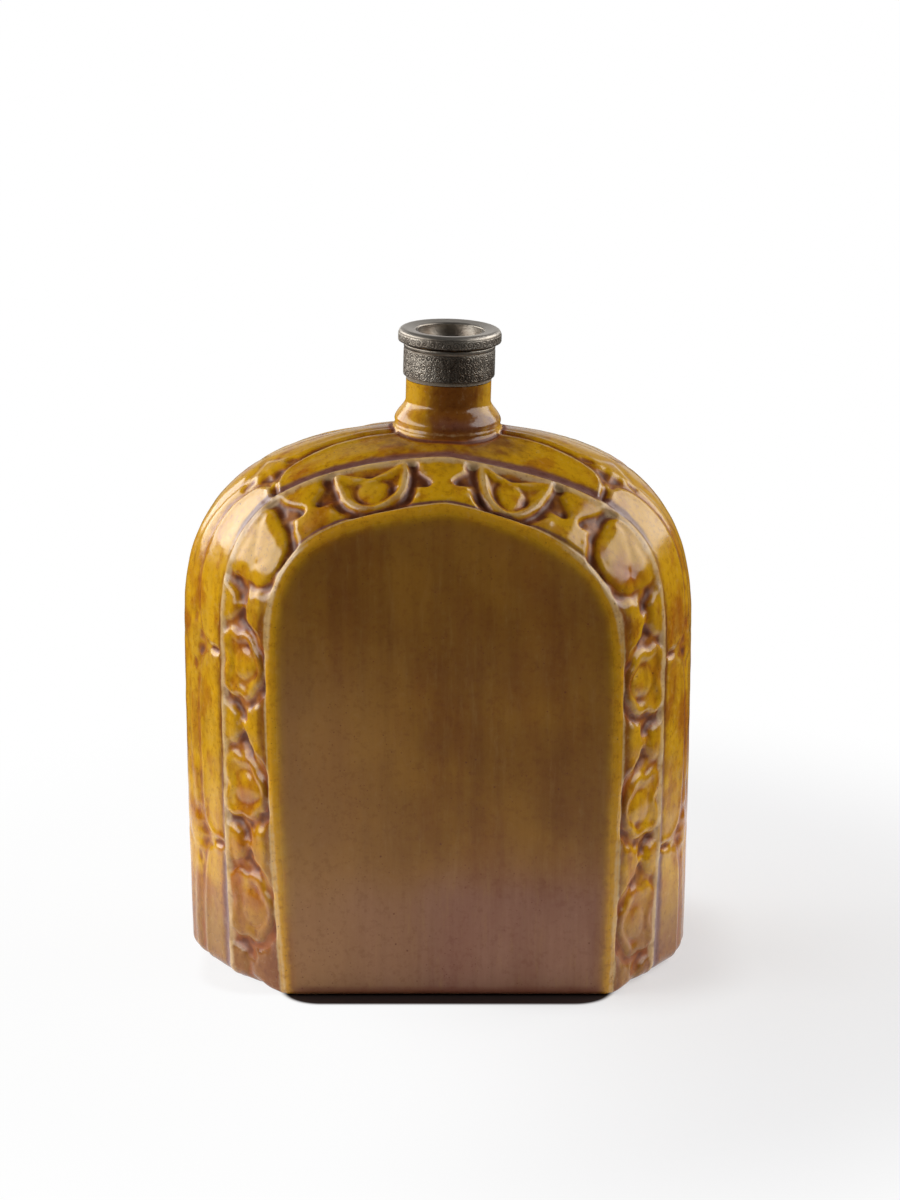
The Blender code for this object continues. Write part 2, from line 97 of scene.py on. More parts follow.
def from_segment(x: Array, y: Array, first: Point, last: Point) -> Array:
    """Measure how far points lie from a straight line between two others.

    Args:
        x: The points' first coordinates.
        y: Their second ones.
        first: Where the line starts.
        last: Where it ends.

    Returns:
        The distances.
    """
    run, climb = last[0] - first[0], last[1] - first[1]
    along = ((x - first[0]) * run + (y - first[1]) * climb) / (run ** 2 + climb ** 2)
    share = np.clip(along, 0, 1)
    return np.hypot(x - first[0] - share * run, y - first[1] - share * climb)


class Wire:
    """An output in a material's node tree, on which Python's operators add Math nodes."""

    def __init__(self, bench: "Bench", socket: bpy.types.NodeSocket) -> None:
        """Hold a socket and the bench that it stands on."""
        self.bench = bench
        self.socket = socket

    def __add__(self, other: "Operand") -> "Wire":
        """Add."""
        return self.bench.maths("ADD", self, other)

    def __radd__(self, other: "Operand") -> "Wire":
        """Add, from the right."""
        return self.bench.maths("ADD", other, self)

    def __sub__(self, other: "Operand") -> "Wire":
        """Take away."""
        return self.bench.maths("SUBTRACT", self, other)

    def __rsub__(self, other: "Operand") -> "Wire":
        """Take away from a number."""
        return self.bench.maths("SUBTRACT", other, self)

    def __mul__(self, other: "Operand") -> "Wire":
        """Multiply."""
        return self.bench.maths("MULTIPLY", self, other)

    def __rmul__(self, other: "Operand") -> "Wire":
        """Multiply, from the right."""
        return self.bench.maths("MULTIPLY", other, self)

    def __truediv__(self, other: "Operand") -> "Wire":
        """Divide."""
        return self.bench.maths("DIVIDE", self, other)

    def __pow__(self, other: "Operand") -> "Wire":
        """Raise to a power."""
        return self.bench.maths("POWER", self, other)


Operand = Wire | float


class Bench:
    """Adds the nodes of one material."""

    def __init__(self, tree: bpy.types.NodeTree) -> None:
        """Start with an empty tree."""
        self.tree = tree
        self.tree.nodes.clear()

    def node(
        self,
        kind: str,
        settings: dict[str, Any] | None = None,
        sockets: dict[str | int, Any] | None = None,
        output: str | int = 0,
    ) -> Wire:
        """Add a node.

        Args:
            kind: The node's type.
            settings: Its own settings, set first; "stops" holds a ramp's (place, colour) pairs.
            sockets: Values or wires of its inputs, by name or number.
            output: The output that is wanted.

        Returns:
            The wanted output.
        """
        made = self.tree.nodes.new(kind)
        for name, value in (settings or {}).items():
            if name == "stops":
                self._set_stops(made.color_ramp, value)
            else:
                setattr(made, name, value)
        for name, value in (sockets or {}).items():
            if isinstance(value, Wire):
                self.tree.links.new(value.socket, made.inputs[name])
            else:
                made.inputs[name].default_value = value
        return Wire(self, made.outputs[output])

    @staticmethod
    def _set_stops(ramp: bpy.types.ColorRamp, stops: list[tuple[float, Colour]]) -> None:
        """Give a ramp its stops.

        Args:
            ramp: The ramp, with two stops at first.
            stops: Its places and colours, in order.
        """
        while len(ramp.elements) < len(stops):
            ramp.elements.new(0.5)
        for element, (place, colour) in zip(ramp.elements, stops):
            element.position = place
            element.color = colour

    def maths(self, operation: str, *values: Operand) -> Wire:
        """Add a Math node."""
        return self.node("ShaderNodeMath", {"operation": operation}, dict(enumerate(values)))

    def ease(self, value: Wire, low: float, high: float) -> Wire:
        """Ease a value from 0 at low to 1 at high."""
        settings = {"interpolation_type": "SMOOTHSTEP"}
        return self.node(
            "ShaderNodeMapRange", settings, {"Value": value, "From Min": low, "From Max": high})

    def blend(self, share: Operand, first: Wire | Colour, second: Wire | Colour) -> Wire:
        """Mix two colours."""
        return self.node(
            "ShaderNodeMix", {"data_type": "RGBA", "clamp_factor": True},
            {0: share, 6: first, 7: second}, 2)

    def shade(self, share: Operand, first: Wire | Colour, second: Wire | Colour) -> Wire:
        """Multiply one colour by another, by a share."""
        return self.node(
            "ShaderNodeMix", {"data_type": "RGBA", "blend_type": "MULTIPLY", "clamp_factor": True},
            {0: share, 6: first, 7: second}, 2)

    def mark(self, name: str) -> Wire:
        """Read a number that the mesh holds at its points."""
        return self.node("ShaderNodeAttribute", {"attribute_name": name}, output="Fac")

    def places(self, scale: tuple[float, float, float] = (1, 1, 1)) -> Wire:
        """The object's own coordinates, stretched by a scale."""
        own = self.node("ShaderNodeTexCoord", output="Object")
        return self.node("ShaderNodeMapping", sockets={"Vector": own, "Scale": scale})

    def part(self, vector: Wire, axis: str) -> Wire:
        """One coordinate of a vector: "X", "Y" or "Z"."""
        return self.node("ShaderNodeSeparateXYZ", sockets={"Vector": vector}, output=axis)

    def ray(self, kind: str) -> Wire:
        """1 where a ray is of a kind, such as "Is Camera Ray", and 0 elsewhere."""
        return self.node("ShaderNodeLightPath", output=kind)

    def noise(self, places: Wire, scale: float, detail: float = 3, rough: float = 0.5) -> Wire:
        """Cloudy noise, from 0 to 1."""
        return self.node("ShaderNodeTexNoise", sockets={
            "Vector": places, "Scale": scale, "Detail": detail, "Roughness": rough})

    def cells(self, places: Wire, scale: float, feature: str = "F1") -> Wire:
        """Distance to the nearest of many scattered points, or to the edge between them."""
        return self.node(
            "ShaderNodeTexVoronoi", {"feature": feature}, {"Vector": places, "Scale": scale},
            "Distance")

    def relief(self, height: Wire, depth: float) -> Wire:
        """A bump of a given depth in metres."""
        return self.node("ShaderNodeBump", sockets={
            "Height": height, "Distance": depth, "Strength": 1.0}, output="Normal")

    def lead_out(self, shader: Wire, kind: str = "ShaderNodeOutputMaterial") -> None:
        """Add an output node and lead a shader to it."""
        made = self.tree.nodes.new(kind)
        self.tree.links.new(shader.socket, made.inputs["Surface"])


def new_bench(name: str) -> tuple[bpy.types.Material, Bench]:
    """Make an empty material.

    Args:
        name: Its name.

    Returns:
        The material and its bench.
    """
    material = bpy.data.materials.new(name)
    material.use_nodes = True
    return material, Bench(material.node_tree)


@dataclass(frozen=True)
class GlazeFinish:
    """Amber glaze: purple-brown where it pools; pale yellow where it thins over a crest, and as
    painted highlight.
    """

    yellow: Colour = paint(226, 168, 16)
    amber: Colour = paint(194, 122, 12)
    rust: Colour = paint(158, 78, 12)
    burnt: Colour = paint(176, 86, 14)
    straw: Colour = paint(222, 176, 66)
    pooled: Colour = paint(104, 50, 26)
    channelled: Colour = paint(128, 84, 78)
    thin_glaze_and_highlight: Colour = paint(228, 194, 142)
    rim: Colour = paint(232, 168, 34)
    thick: Colour = paint(122, 64, 24)
    panel_high: Colour = paint(150, 98, 24)
    panel_warm: Colour = paint(172, 118, 32)
    panel_low_sheen: Colour = paint(158, 108, 70)
    panel_lilac_sheen: Colour = paint(166, 116, 90)
    panel_brushed: Colour = paint(196, 170, 140)
    panel_washed: Colour = paint(206, 156, 128)
    panel_faded: Colour = paint(204, 152, 94)
    panel_scuffed: Colour = paint(176, 130, 74)
    mottled: Colour = paint(190, 150, 116)
    foot: Colour = paint(132, 80, 38)
    hem: Colour = paint(128, 64, 44)
    hem_highlight: Colour = paint(206, 168, 110)
    hem_start: float = 0.0004
    hem_full: float = 0.0012
    hem_fade: float = 0.0030
    hem_end: float = 0.0052
    skin_depth: float = 0.00020
    gloss: float = 0.12
    panel_gloss: float = 0.42

    def make(self) -> bpy.types.Material:
        """Make the material.

        Returns:
            The glaze, which reads its mesh's marks.
        """
        material, bench = new_bench("amber_glaze")
        hollow, crest, panel, low, channel, rim, thick = (
            bench.mark(name) for name in GLAZE_MARKS)
        cloud = bench.noise(bench.places(), 150, 4) - 0.5
        edge = bench.noise(bench.places(), 420, 3) - 0.5
        runs = bench.noise(bench.places((1, 1, 0.12)), 260, 3) - 0.5
        colour = bench.blend(panel, self._body(bench), self._panel(bench, low))
        colour = bench.blend(bench.ease(low, 0.25, 1.0) * (1 - panel) * 0.75, colour, self.foot)
        # Darker where the glaze lies thickly, and over the neck's front, where this mark paints
        # shade.
        thick = thick + runs * 0.6 + cloud * 0.6
        colour = bench.blend(bench.ease(thick, 0.15, 1.0) * 0.92, colour, self.thick)
        rusty = bench.ease(hollow + cloud * 0.6, 0.10, 0.5) * (1 - panel)
        colour = bench.blend(rusty * 0.8, colour, self.rust)
        colour = bench.blend(
            bench.ease(channel + cloud * 0.5, 0.2, 0.7) * 0.92, colour, self.channelled)
        pooled = bench.ease(hollow + cloud * 0.7 + edge * 0.4, 0.40, 0.8)
        colour = bench.blend(pooled * 0.9, colour, self.pooled)
        colour = bench.blend(
            bench.ease(rim + edge * 0.4 + cloud * 0.7, 0.15, 0.9) * 0.85, colour, self.rim)
        # Pale where the glaze thins over crests, and where the crest mark paints highlights along
        # the rib and the panels' edges
        thinned_and_highlit = bench.ease(crest + cloud * 0.8 + edge * 0.6, 0.25, 0.95)
        colour = self._mottle(bench, panel, bench.blend(thinned_and_highlit * 0.75, colour, self.thin_glaze_and_highlight))
        colour = self._hem(bench, panel, self._specks(bench, colour))
        shader = bench.node("ShaderNodeBsdfPrincipled", sockets={
            "Base Color": colour, "Roughness": self._roughness(bench, panel, low, hollow),
            "IOR": 1.5, "Normal": self._skin(bench, panel)})
        bench.lead_out(shader)
        return material

    def _body(self, bench: Bench) -> Wire:
        """Colour the moulded border, strips and shoulders, where the glaze ran down in streaks.

        Args:
            bench: The material's bench.

        Returns:
            The colour.
        """
        streaks = bench.noise(bench.places((1, 1, 0.22)), 70, 4, 0.55)
        clouds = bench.noise(bench.places(), 22, 3)
        patches = bench.noise(bench.places(), 64, 3)
        height = bench.part(bench.places(), "Z")
        tone = streaks * 0.5 + clouds * 0.6 + patches * 0.4 + (height - 0.125) * 0.9
        colour = bench.node("ShaderNodeValToRGB", {"stops": [
            (0.50, self.rust), (0.64, self.amber), (0.77, self.yellow)]}, {"Fac": tone})
        blotches = bench.noise(bench.places((1, 1, 0.6)), 95, 4, 0.6)
        colour = bench.blend(bench.ease(blotches, 0.5, 0.66) * 0.5, colour, self.burnt)
        paler = bench.noise(bench.places((1, 1, 0.5)), 48, 3)
        return bench.blend(bench.ease(paler, 0.52, 0.7) * 0.35, colour, self.straw)

    def _panel(self, bench: Bench, low: Wire) -> Wire:
        """Colour the flat panels: duller and browner, with brushed upright streaks, and paler and
        pinker towards the foot, where a reflection of the white table is painted in.

        Args:
            bench: The material's bench.
            low: 1 at the foot, fading to 0 above it.

        Returns:
            The colour.
        """
        streaks = bench.noise(bench.places((1, 1, 0.06)), 190, 4, 0.6)
        scuffs = bench.noise(bench.places((1, 1, 0.15)), 320, 4, 0.7)
        clouds = bench.noise(bench.places(), 17, 4)
        patches = bench.noise(bench.places((1.4, 1, 0.8)), 9, 2)
        high = bench.blend(bench.ease(clouds, 0.35, 0.7), self.panel_high, self.panel_warm)
        # Painted reflection: towards the foot the panel takes paler, pinker colours, as the white
        # table would reflect in it.
        deep = bench.blend(bench.ease(patches, 0.45, 0.68), self.panel_low_sheen, self.panel_lilac_sheen)
        tone = bench.blend(bench.ease(low + (patches - 0.5) * 0.6, 0.0, 0.55), high, deep)
        tone = bench.shade(bench.ease(streaks, 0.35, 0.75) * 0.32, tone, self.panel_brushed)
        washes = bench.noise(bench.places((1, 1, 0.4)), 34, 4, 0.6)
        tone = bench.shade(bench.ease(washes, 0.42, 0.68) * 0.4, tone, self.panel_washed)
        side, height = bench.part(bench.places(), "X"), bench.part(bench.places(), "Z")
        faded = bench.ease(0 - side, -0.005, 0.06) * bench.ease(0.17 - height, 0.0, 0.06)
        tone = bench.blend(faded * 0.4, tone, self.panel_faded)
        return bench.blend(bench.ease(scuffs, 0.5, 0.85) * 0.4, tone, self.panel_scuffed)

    def _mottle(self, bench: Bench, panel: Wire, colour: Wire) -> Wire:
        """Scatter small darker and paler spots, where the glaze boiled as it was fired.

        Args:
            bench: The material's bench.
            panel: 1 on the panels, 0 elsewhere.
            colour: The colour under the spots.

        Returns:
            The colour with its spots.
        """
        spots = bench.noise(bench.places(), 340, 4, 0.7)
        dark = bench.ease(spots, 0.5, 0.68) * (0.45 - panel * 0.2)
        colour = bench.shade(dark, colour, self.mottled)
        pale = (1 - bench.ease(spots, 0.26, 0.46)) * (0.16 - panel * 0.12)
        return bench.blend(pale, colour, self.thin_glaze_and_highlight)

    def _specks(self, bench: Bench, colour: Wire) -> Wire:
        """Prick small dark pinholes in the glaze, and a few larger pits.

        Args:
            bench: The material's bench.
            colour: The colour round them.

        Returns:
            The colour with its pinholes.
        """
        some = bench.noise(bench.places(), 60, 2)
        holes = 1 - bench.ease(bench.cells(bench.places(), 420), 0.05, 0.18)
        pits = 1 - bench.ease(bench.cells(bench.places(), 150), 0.03, 0.09)
        colour = bench.blend(holes * bench.ease(some, 0.48, 0.58) * 0.6, colour, self.pooled)
        return bench.blend(pits * (1 - bench.ease(some, 0.44, 0.52)) * 0.75, colour, self.pooled)

    def _hem(self, bench: Bench, panel: Wire, colour: Wire) -> Wire:
        """Draw a red-brown band along the foot of the panels, over a pale line that paints a
        highlight on the bottom edge.

        Args:
            bench: The material's bench.
            panel: 1 on the panels, 0 elsewhere.
            colour: The colour above the band.

        Returns:
            The colour with its band.
        """
        own = bench.places()
        height = bench.part(own, "Z") + (bench.noise(own, 90, 2) - 0.5) * 0.0012
        above = bench.ease(height, self.hem_start, self.hem_full)
        band = (1 - bench.ease(height, self.hem_fade, self.hem_end)) * above
        colour = bench.blend(band * 0.6 * panel, colour, self.hem)
        # Painted highlight: a pale line along the panels' lowest millimetre.
        wear_and_sheen = (1 - bench.ease(height, 0.0006, 0.0013)) * bench.ease(height, -0.0008, 0.0)
        return bench.blend(wear_and_sheen * 0.6 * panel, colour, self.hem_highlight)

    def _roughness(self, bench: Bench, panel: Wire, low: Wire, hollow: Wire) -> Wire:
        """Gloss the border, and dull its hollows, the panels and the foot.

        Args:
            bench: The material's bench.
            panel: 1 on the panels, 0 elsewhere.
            low: 1 at the foot, fading to 0 above it.
            hollow: How deep in a hollow of the relief, up to 1.

        Returns:
            The roughness.
        """
        cloud = bench.noise(bench.places(), 45, 3)
        glossy = self.gloss + cloud * 0.12 + low * 0.08 + bench.ease(hollow, 0.15, 0.7) * 0.3
        dull = self.panel_gloss + (cloud - 0.5) * 0.15
        return glossy * (1 - panel) + dull * panel

    def _skin(self, bench: Bench, panel: Wire) -> Wire:
        """Make the glaze finely uneven, with brush lines on the panels.

        Args:
            bench: The material's bench.
            panel: 1 on the panels, 0 elsewhere.

        Returns:
            The bump.
        """
        skin = bench.noise(bench.places(), 260, 3, 0.6)
        brushed = bench.noise(bench.places((1, 1, 0.05)), 420, 3, 0.6)
        height = skin * 0.5 + brushed * panel * 0.5
        return bench.relief(height, self.skin_depth)


@dataclass(frozen=True)
class ClayFinish:
    """Bare fired clay, inside and under the foot."""

    buff: Colour = paint(196, 160, 118)
    burnt: Colour = paint(150, 104, 68)
    grain_depth: float = 0.0003

    def make(self) -> bpy.types.Material:
        """Make the material.

        Returns:
            The clay.
        """
        material, bench = new_bench("bare_clay")
        grain = bench.noise(bench.places(), 380, 5, 0.65)
        clouds = bench.noise(bench.places(), 30, 3)
        tone = bench.ease(grain * 0.5 + clouds * 0.5, 0.3, 0.7)
        shader = bench.node("ShaderNodeBsdfPrincipled", sockets={
            "Base Color": bench.blend(tone, self.burnt, self.buff),
            "Roughness": 0.72 + grain * 0.2, "Normal": bench.relief(grain, self.grain_depth)})
        bench.lead_out(shader)
        return material


@dataclass(frozen=True)
class MetalFinish:
    """Tarnished silvery metal: dark in its engraved lines, rubbed bright on its edges; the lip's top
    is rubbed and carries a painted reflection.
    """

    rubbed: Colour = paint(176, 168, 156)
    wear_and_sheen: Colour = paint(220, 212, 202)
    tarnish: Colour = paint(112, 100, 88)
    black: Colour = paint(44, 37, 33)
    grain_depth: float = 0.00010

    def make(self) -> bpy.types.Material:
        """Make the material.

        Returns:
            The metal, which reads its mesh's hollows and crests.
        """
        material, bench = new_bench("tarnished_metal")
        hollow, crest = bench.mark("hollow"), bench.mark("crest")
        grain = bench.noise(bench.places(), 900, 4, 0.6)
        clouds = bench.noise(bench.places(), 90, 4)
        colour = bench.blend(bench.ease(clouds, 0.3, 0.7), self.tarnish, self.rubbed)
        colour = bench.blend(bench.ease(grain, 0.5, 0.8) * 0.35, colour, self.black)
        colour = bench.blend(bench.ease(hollow, 0.1, 0.9) * 0.72, colour, self.black)
        colour = bench.blend(bench.ease(crest, 0.2, 1.0) * 0.7, colour, self.rubbed)
        # Palest only where the crest mark nears 1, on the lip's top: rubbed metal, and a painted
        # reflection of the white behind.
        colour = bench.blend(bench.ease(crest, 0.82, 1.0) * 0.65, colour, self.wear_and_sheen)
        shader = bench.node("ShaderNodeBsdfPrincipled", sockets={
            "Base Color": colour, "Metallic": 1.0,
            "Roughness": 0.34 + clouds * 0.16 + hollow * 0.2,
            "Normal": bench.relief(grain, self.grain_depth)})
        bench.lead_out(shader)
        return material


@dataclass(frozen=True)
class BeddingFinish:
    """Grey plaster-like bedding between the neck and its mount."""

    pale: Colour = paint(170, 158, 140)
    dark: Colour = paint(120, 106, 90)
    grain_depth: float = 0.0002

    def make(self) -> bpy.types.Material:
        """Make the material.

        Returns:
            The bedding.
        """
        material, bench = new_bench("grey_bedding")
        grain = bench.noise(bench.places(), 700, 4, 0.7)
        shader = bench.node("ShaderNodeBsdfPrincipled", sockets={
            "Base Color": bench.blend(grain, self.dark, self.pale), "Roughness": 0.9,
            "Normal": bench.relief(grain, self.grain_depth)})
        bench.lead_out(shader)
        return material


def deselect() -> None:
    """Leave nothing selected."""
    bpy.ops.object.select_all(action="DESELECT")


def only(obj: bpy.types.Object) -> None:
    """Select one object and make it active."""
    deselect()
    obj.select_set(True)
    bpy.context.view_layer.objects.active = obj


def merge_doubles() -> None:
    """Merge the points that lie together, in the mesh that is open in edit mode."""
    bpy.ops.mesh.select_all(action="SELECT")
    bpy.ops.mesh.remove_doubles(threshold=MERGE_DISTANCE)


def coat(obj: bpy.types.Object, material: bpy.types.Material) -> None:
    """Give a piece one material in place of what it has."""
    obj.data.materials.clear()
    obj.data.materials.append(material)


def finish_piece(
    obj: bpy.types.Object, material: bpy.types.Material, angle: float, node: str
) -> None:
    """Shade a piece, give it its material and let it ride on the body.

    Args:
        obj: The piece.
        material: Its material.
        angle: Edges sharper than this stay sharp.
        node: The CAD node that it replaces.
    """
    only(obj)
    bpy.ops.object.shade_smooth_by_angle(angle=angle)
    coat(obj, material)
    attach(obj, BODY)
    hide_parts(node)
    LOG.info("%s: %d faces", obj.name, len(obj.data.polygons))


def read_points(obj: bpy.types.Object) -> Array:
    """Read an object's points."""
    values = np.zeros(len(obj.data.vertices) * 3)
    obj.data.vertices.foreach_get("co", values)
    return values.reshape(-1, 3)


def write_points(obj: bpy.types.Object, points: Array) -> None:
    """Move an object's points."""
    obj.data.vertices.foreach_set("co", points.ravel())
    obj.data.update()


def write_mark(obj: bpy.types.Object, name: str, values: Array) -> None:
    """Store a number at each point, for the materials to read."""
    layer = obj.data.attributes.new(name, "FLOAT", "POINT")
    layer.data.foreach_set("value", values.astype(np.float32))


class Hand(Enum):
    """The two sides of an arch, seen from the front."""

    LEFT = -1
    RIGHT = 1


@dataclass(frozen=True)
class Side:
    """One side of an arch outline, drawn in from the body's widest by its inset."""

    inset: float
    foot_taper: float
    crown_point: float
    fullness: float


@dataclass(frozen=True)
class Section:
    """An arch outline of the body, standing a given depth in front of the seam."""

    depth: float
    crown_depth: float
    middle: float
    drop: float
    rise: float
    left: Side
    right: Side
    crown_soft: float = 0.0
    crown_power: float = 1.5
    crown_share: float = 0.08
    leaving_share: float = 0.17
    body_width: float = 0.2128
    body_height: float = 0.2302
    samples: int = 420

    def line(self, hand: Hand, shares: Array) -> Array:
        """Walk one side of the outline.

        Args:
            hand: The side.
            shares: Shares of the way from the foot, 0, to the crown, 1.

        Returns:
            A (share, 3) array of points on the front half.
        """
        side = self.left if hand is Hand.LEFT else self.right
        reach = self.body_width / 2 - side.inset
        crown = self.body_height - self.drop
        springing = crown - self.rise
        up = np.arange(self.samples) / self.samples
        turn = np.linspace(0, pi / 2, self.samples + 1)
        power = side.fullness
        length = (np.cos(turn) ** power + np.sin(turn) ** power) ** (-1 / power)
        across = np.clip(length * np.cos(turn), 0.0, 1.0)
        across[-1] = 0.0
        rounded = (self.rise - side.crown_point) * (1 - across ** power) ** (1 / power)
        point = side.crown_point * (1 - self.soften(side, across)) ** self.crown_power
        arch = springing + rounded + point
        outward = np.concatenate([reach - side.foot_taper * (1 - up) ** 2, reach * across])
        height = np.concatenate([springing * up, arch])
        walked = np.concatenate(
            [[0], np.cumsum(np.hypot(np.diff(outward), np.diff(height)))])
        where = shares * walked[-1]
        leaving = eased((1 - shares - self.crown_share) / self.leaving_share)
        depth = self.crown_depth + (self.depth - self.crown_depth) * leaving
        x = self.middle + hand.value * np.interp(where, walked, outward)
        return np.stack([x, -depth, np.interp(where, walked, height)], -1)

    def soften(self, side: Side, across: Array) -> Array:
        """Round the crown's point off, by the same drop on both sides.

        Args:
            side: The side.
            across: Shares of the way out from the crown.

        Returns:
            The shares, held back near the crown.
        """
        start = 1 - (1 - self.crown_soft / side.crown_point) ** (1 / self.crown_power)
        size = start
        for _ in range(5):
            size = start + np.hypot(1, size) - 1
        return np.hypot(across, size) - np.hypot(1, size) + 1


PANEL = Section(
    depth=0.0610, crown_depth=0.0610, middle=0.0029, drop=0.0199, rise=0.0693,
    left=Side(inset=0.0338, foot_taper=0.0055, crown_point=0.0075, fullness=3.2),
    right=Side(inset=0.0338, foot_taper=0.0035, crown_point=0.0113, fullness=2.6),
    crown_soft=0.0006)
RIB = Section(
    depth=0.0385, crown_depth=0.0385, middle=0.0030, drop=0.0065, rise=0.0797,
    left=Side(inset=0.0151, foot_taper=0.0022, crown_point=0.0052, fullness=3.0),
    right=Side(inset=0.0168, foot_taper=0.0033, crown_point=0.0134, fullness=3.15),
    crown_soft=0.0005)
SIDE_LINE = Section(
    depth=0.0190, crown_depth=0.0100, middle=0.0025, drop=0.0006, rise=0.0886,
    left=Side(inset=0.0047, foot_taper=0.0015, crown_point=0.0060, fullness=2.85),
    right=Side(inset=0.0054, foot_taper=0.0020, crown_point=0.0070, fullness=2.8),
    crown_soft=0.0004)
SEAM = Section(
    depth=0.0, crown_depth=0.0, middle=0.0, drop=0.0, rise=0.0912,
    left=Side(inset=0.0, foot_taper=0.0016, crown_point=0.0045, fullness=2.75),
    right=Side(inset=0.0, foot_taper=0.0016, crown_point=0.0045, fullness=2.75))


@dataclass(frozen=True)
class Figure:
    """A closed figure of the relief, whose corners are rounded; a mirrored one gives its half."""

    corners: tuple[Point, ...]
    mirrored: bool = True
    rounds: int = 2

    def outline(self) -> Array:
        """Round the corners off.

        Returns:
            The outline's points.
        """
        points = np.array(self.corners, float)
        if self.mirrored:
            points = np.concatenate([points, points[::-1] * [-1, 1]])
        for _ in range(self.rounds):
            after = np.roll(points, -1, 0)
            cut = np.stack([points * 0.75 + after * 0.25, points * 0.25 + after * 0.75], 1)
            points = cut.reshape(-1, 2)
        return points

    def depth_inside(self, x: Array, y: Array) -> Array:
        """Measure how far points lie inside the outline.

        Args:
            x: Places along the border.
            y: Places across the border.

        Returns:
            The distance to the outline, negative outside it.
        """
        outline = self.outline()
        nearest = np.full(x.shape, np.inf)
        inside = np.zeros(x.shape, bool)
        for first, last in zip(outline, np.roll(outline, -1, 0)):
            run, climb = last - first
            if run == 0 and climb == 0:
                continue
            nearest = np.minimum(nearest, from_segment(x, y, first, last))
            if climb != 0:
                crossed = (first[1] > y) != (last[1] > y)
                inside ^= crossed & (x < first[0] + (y - first[1]) * run / climb)
        return np.where(inside, nearest, -nearest)


@dataclass(frozen=True)
class Stroke:
    """An open line of the relief."""

    points: tuple[Point, ...]

    def distance(self, x: Array, y: Array) -> Array:
        """Distance of points from the line."""
        pairs = zip(self.points, self.points[1:])
        return np.minimum.reduce([from_segment(x, y, first, last) for first, last in pairs])


BLOSSOM_PLACES = {
    Hand.LEFT: (29.3, 82.5, 132.0, 185.0, 236.0),
    Hand.RIGHT: (27.5, 81.5, 134.0, 187.0, 238.0),
}
KNOT_PLACES = {
    Hand.LEFT: (73.0, 150.5, 234.5),
    Hand.RIGHT: (69.5, 148.0, 231.0),
}


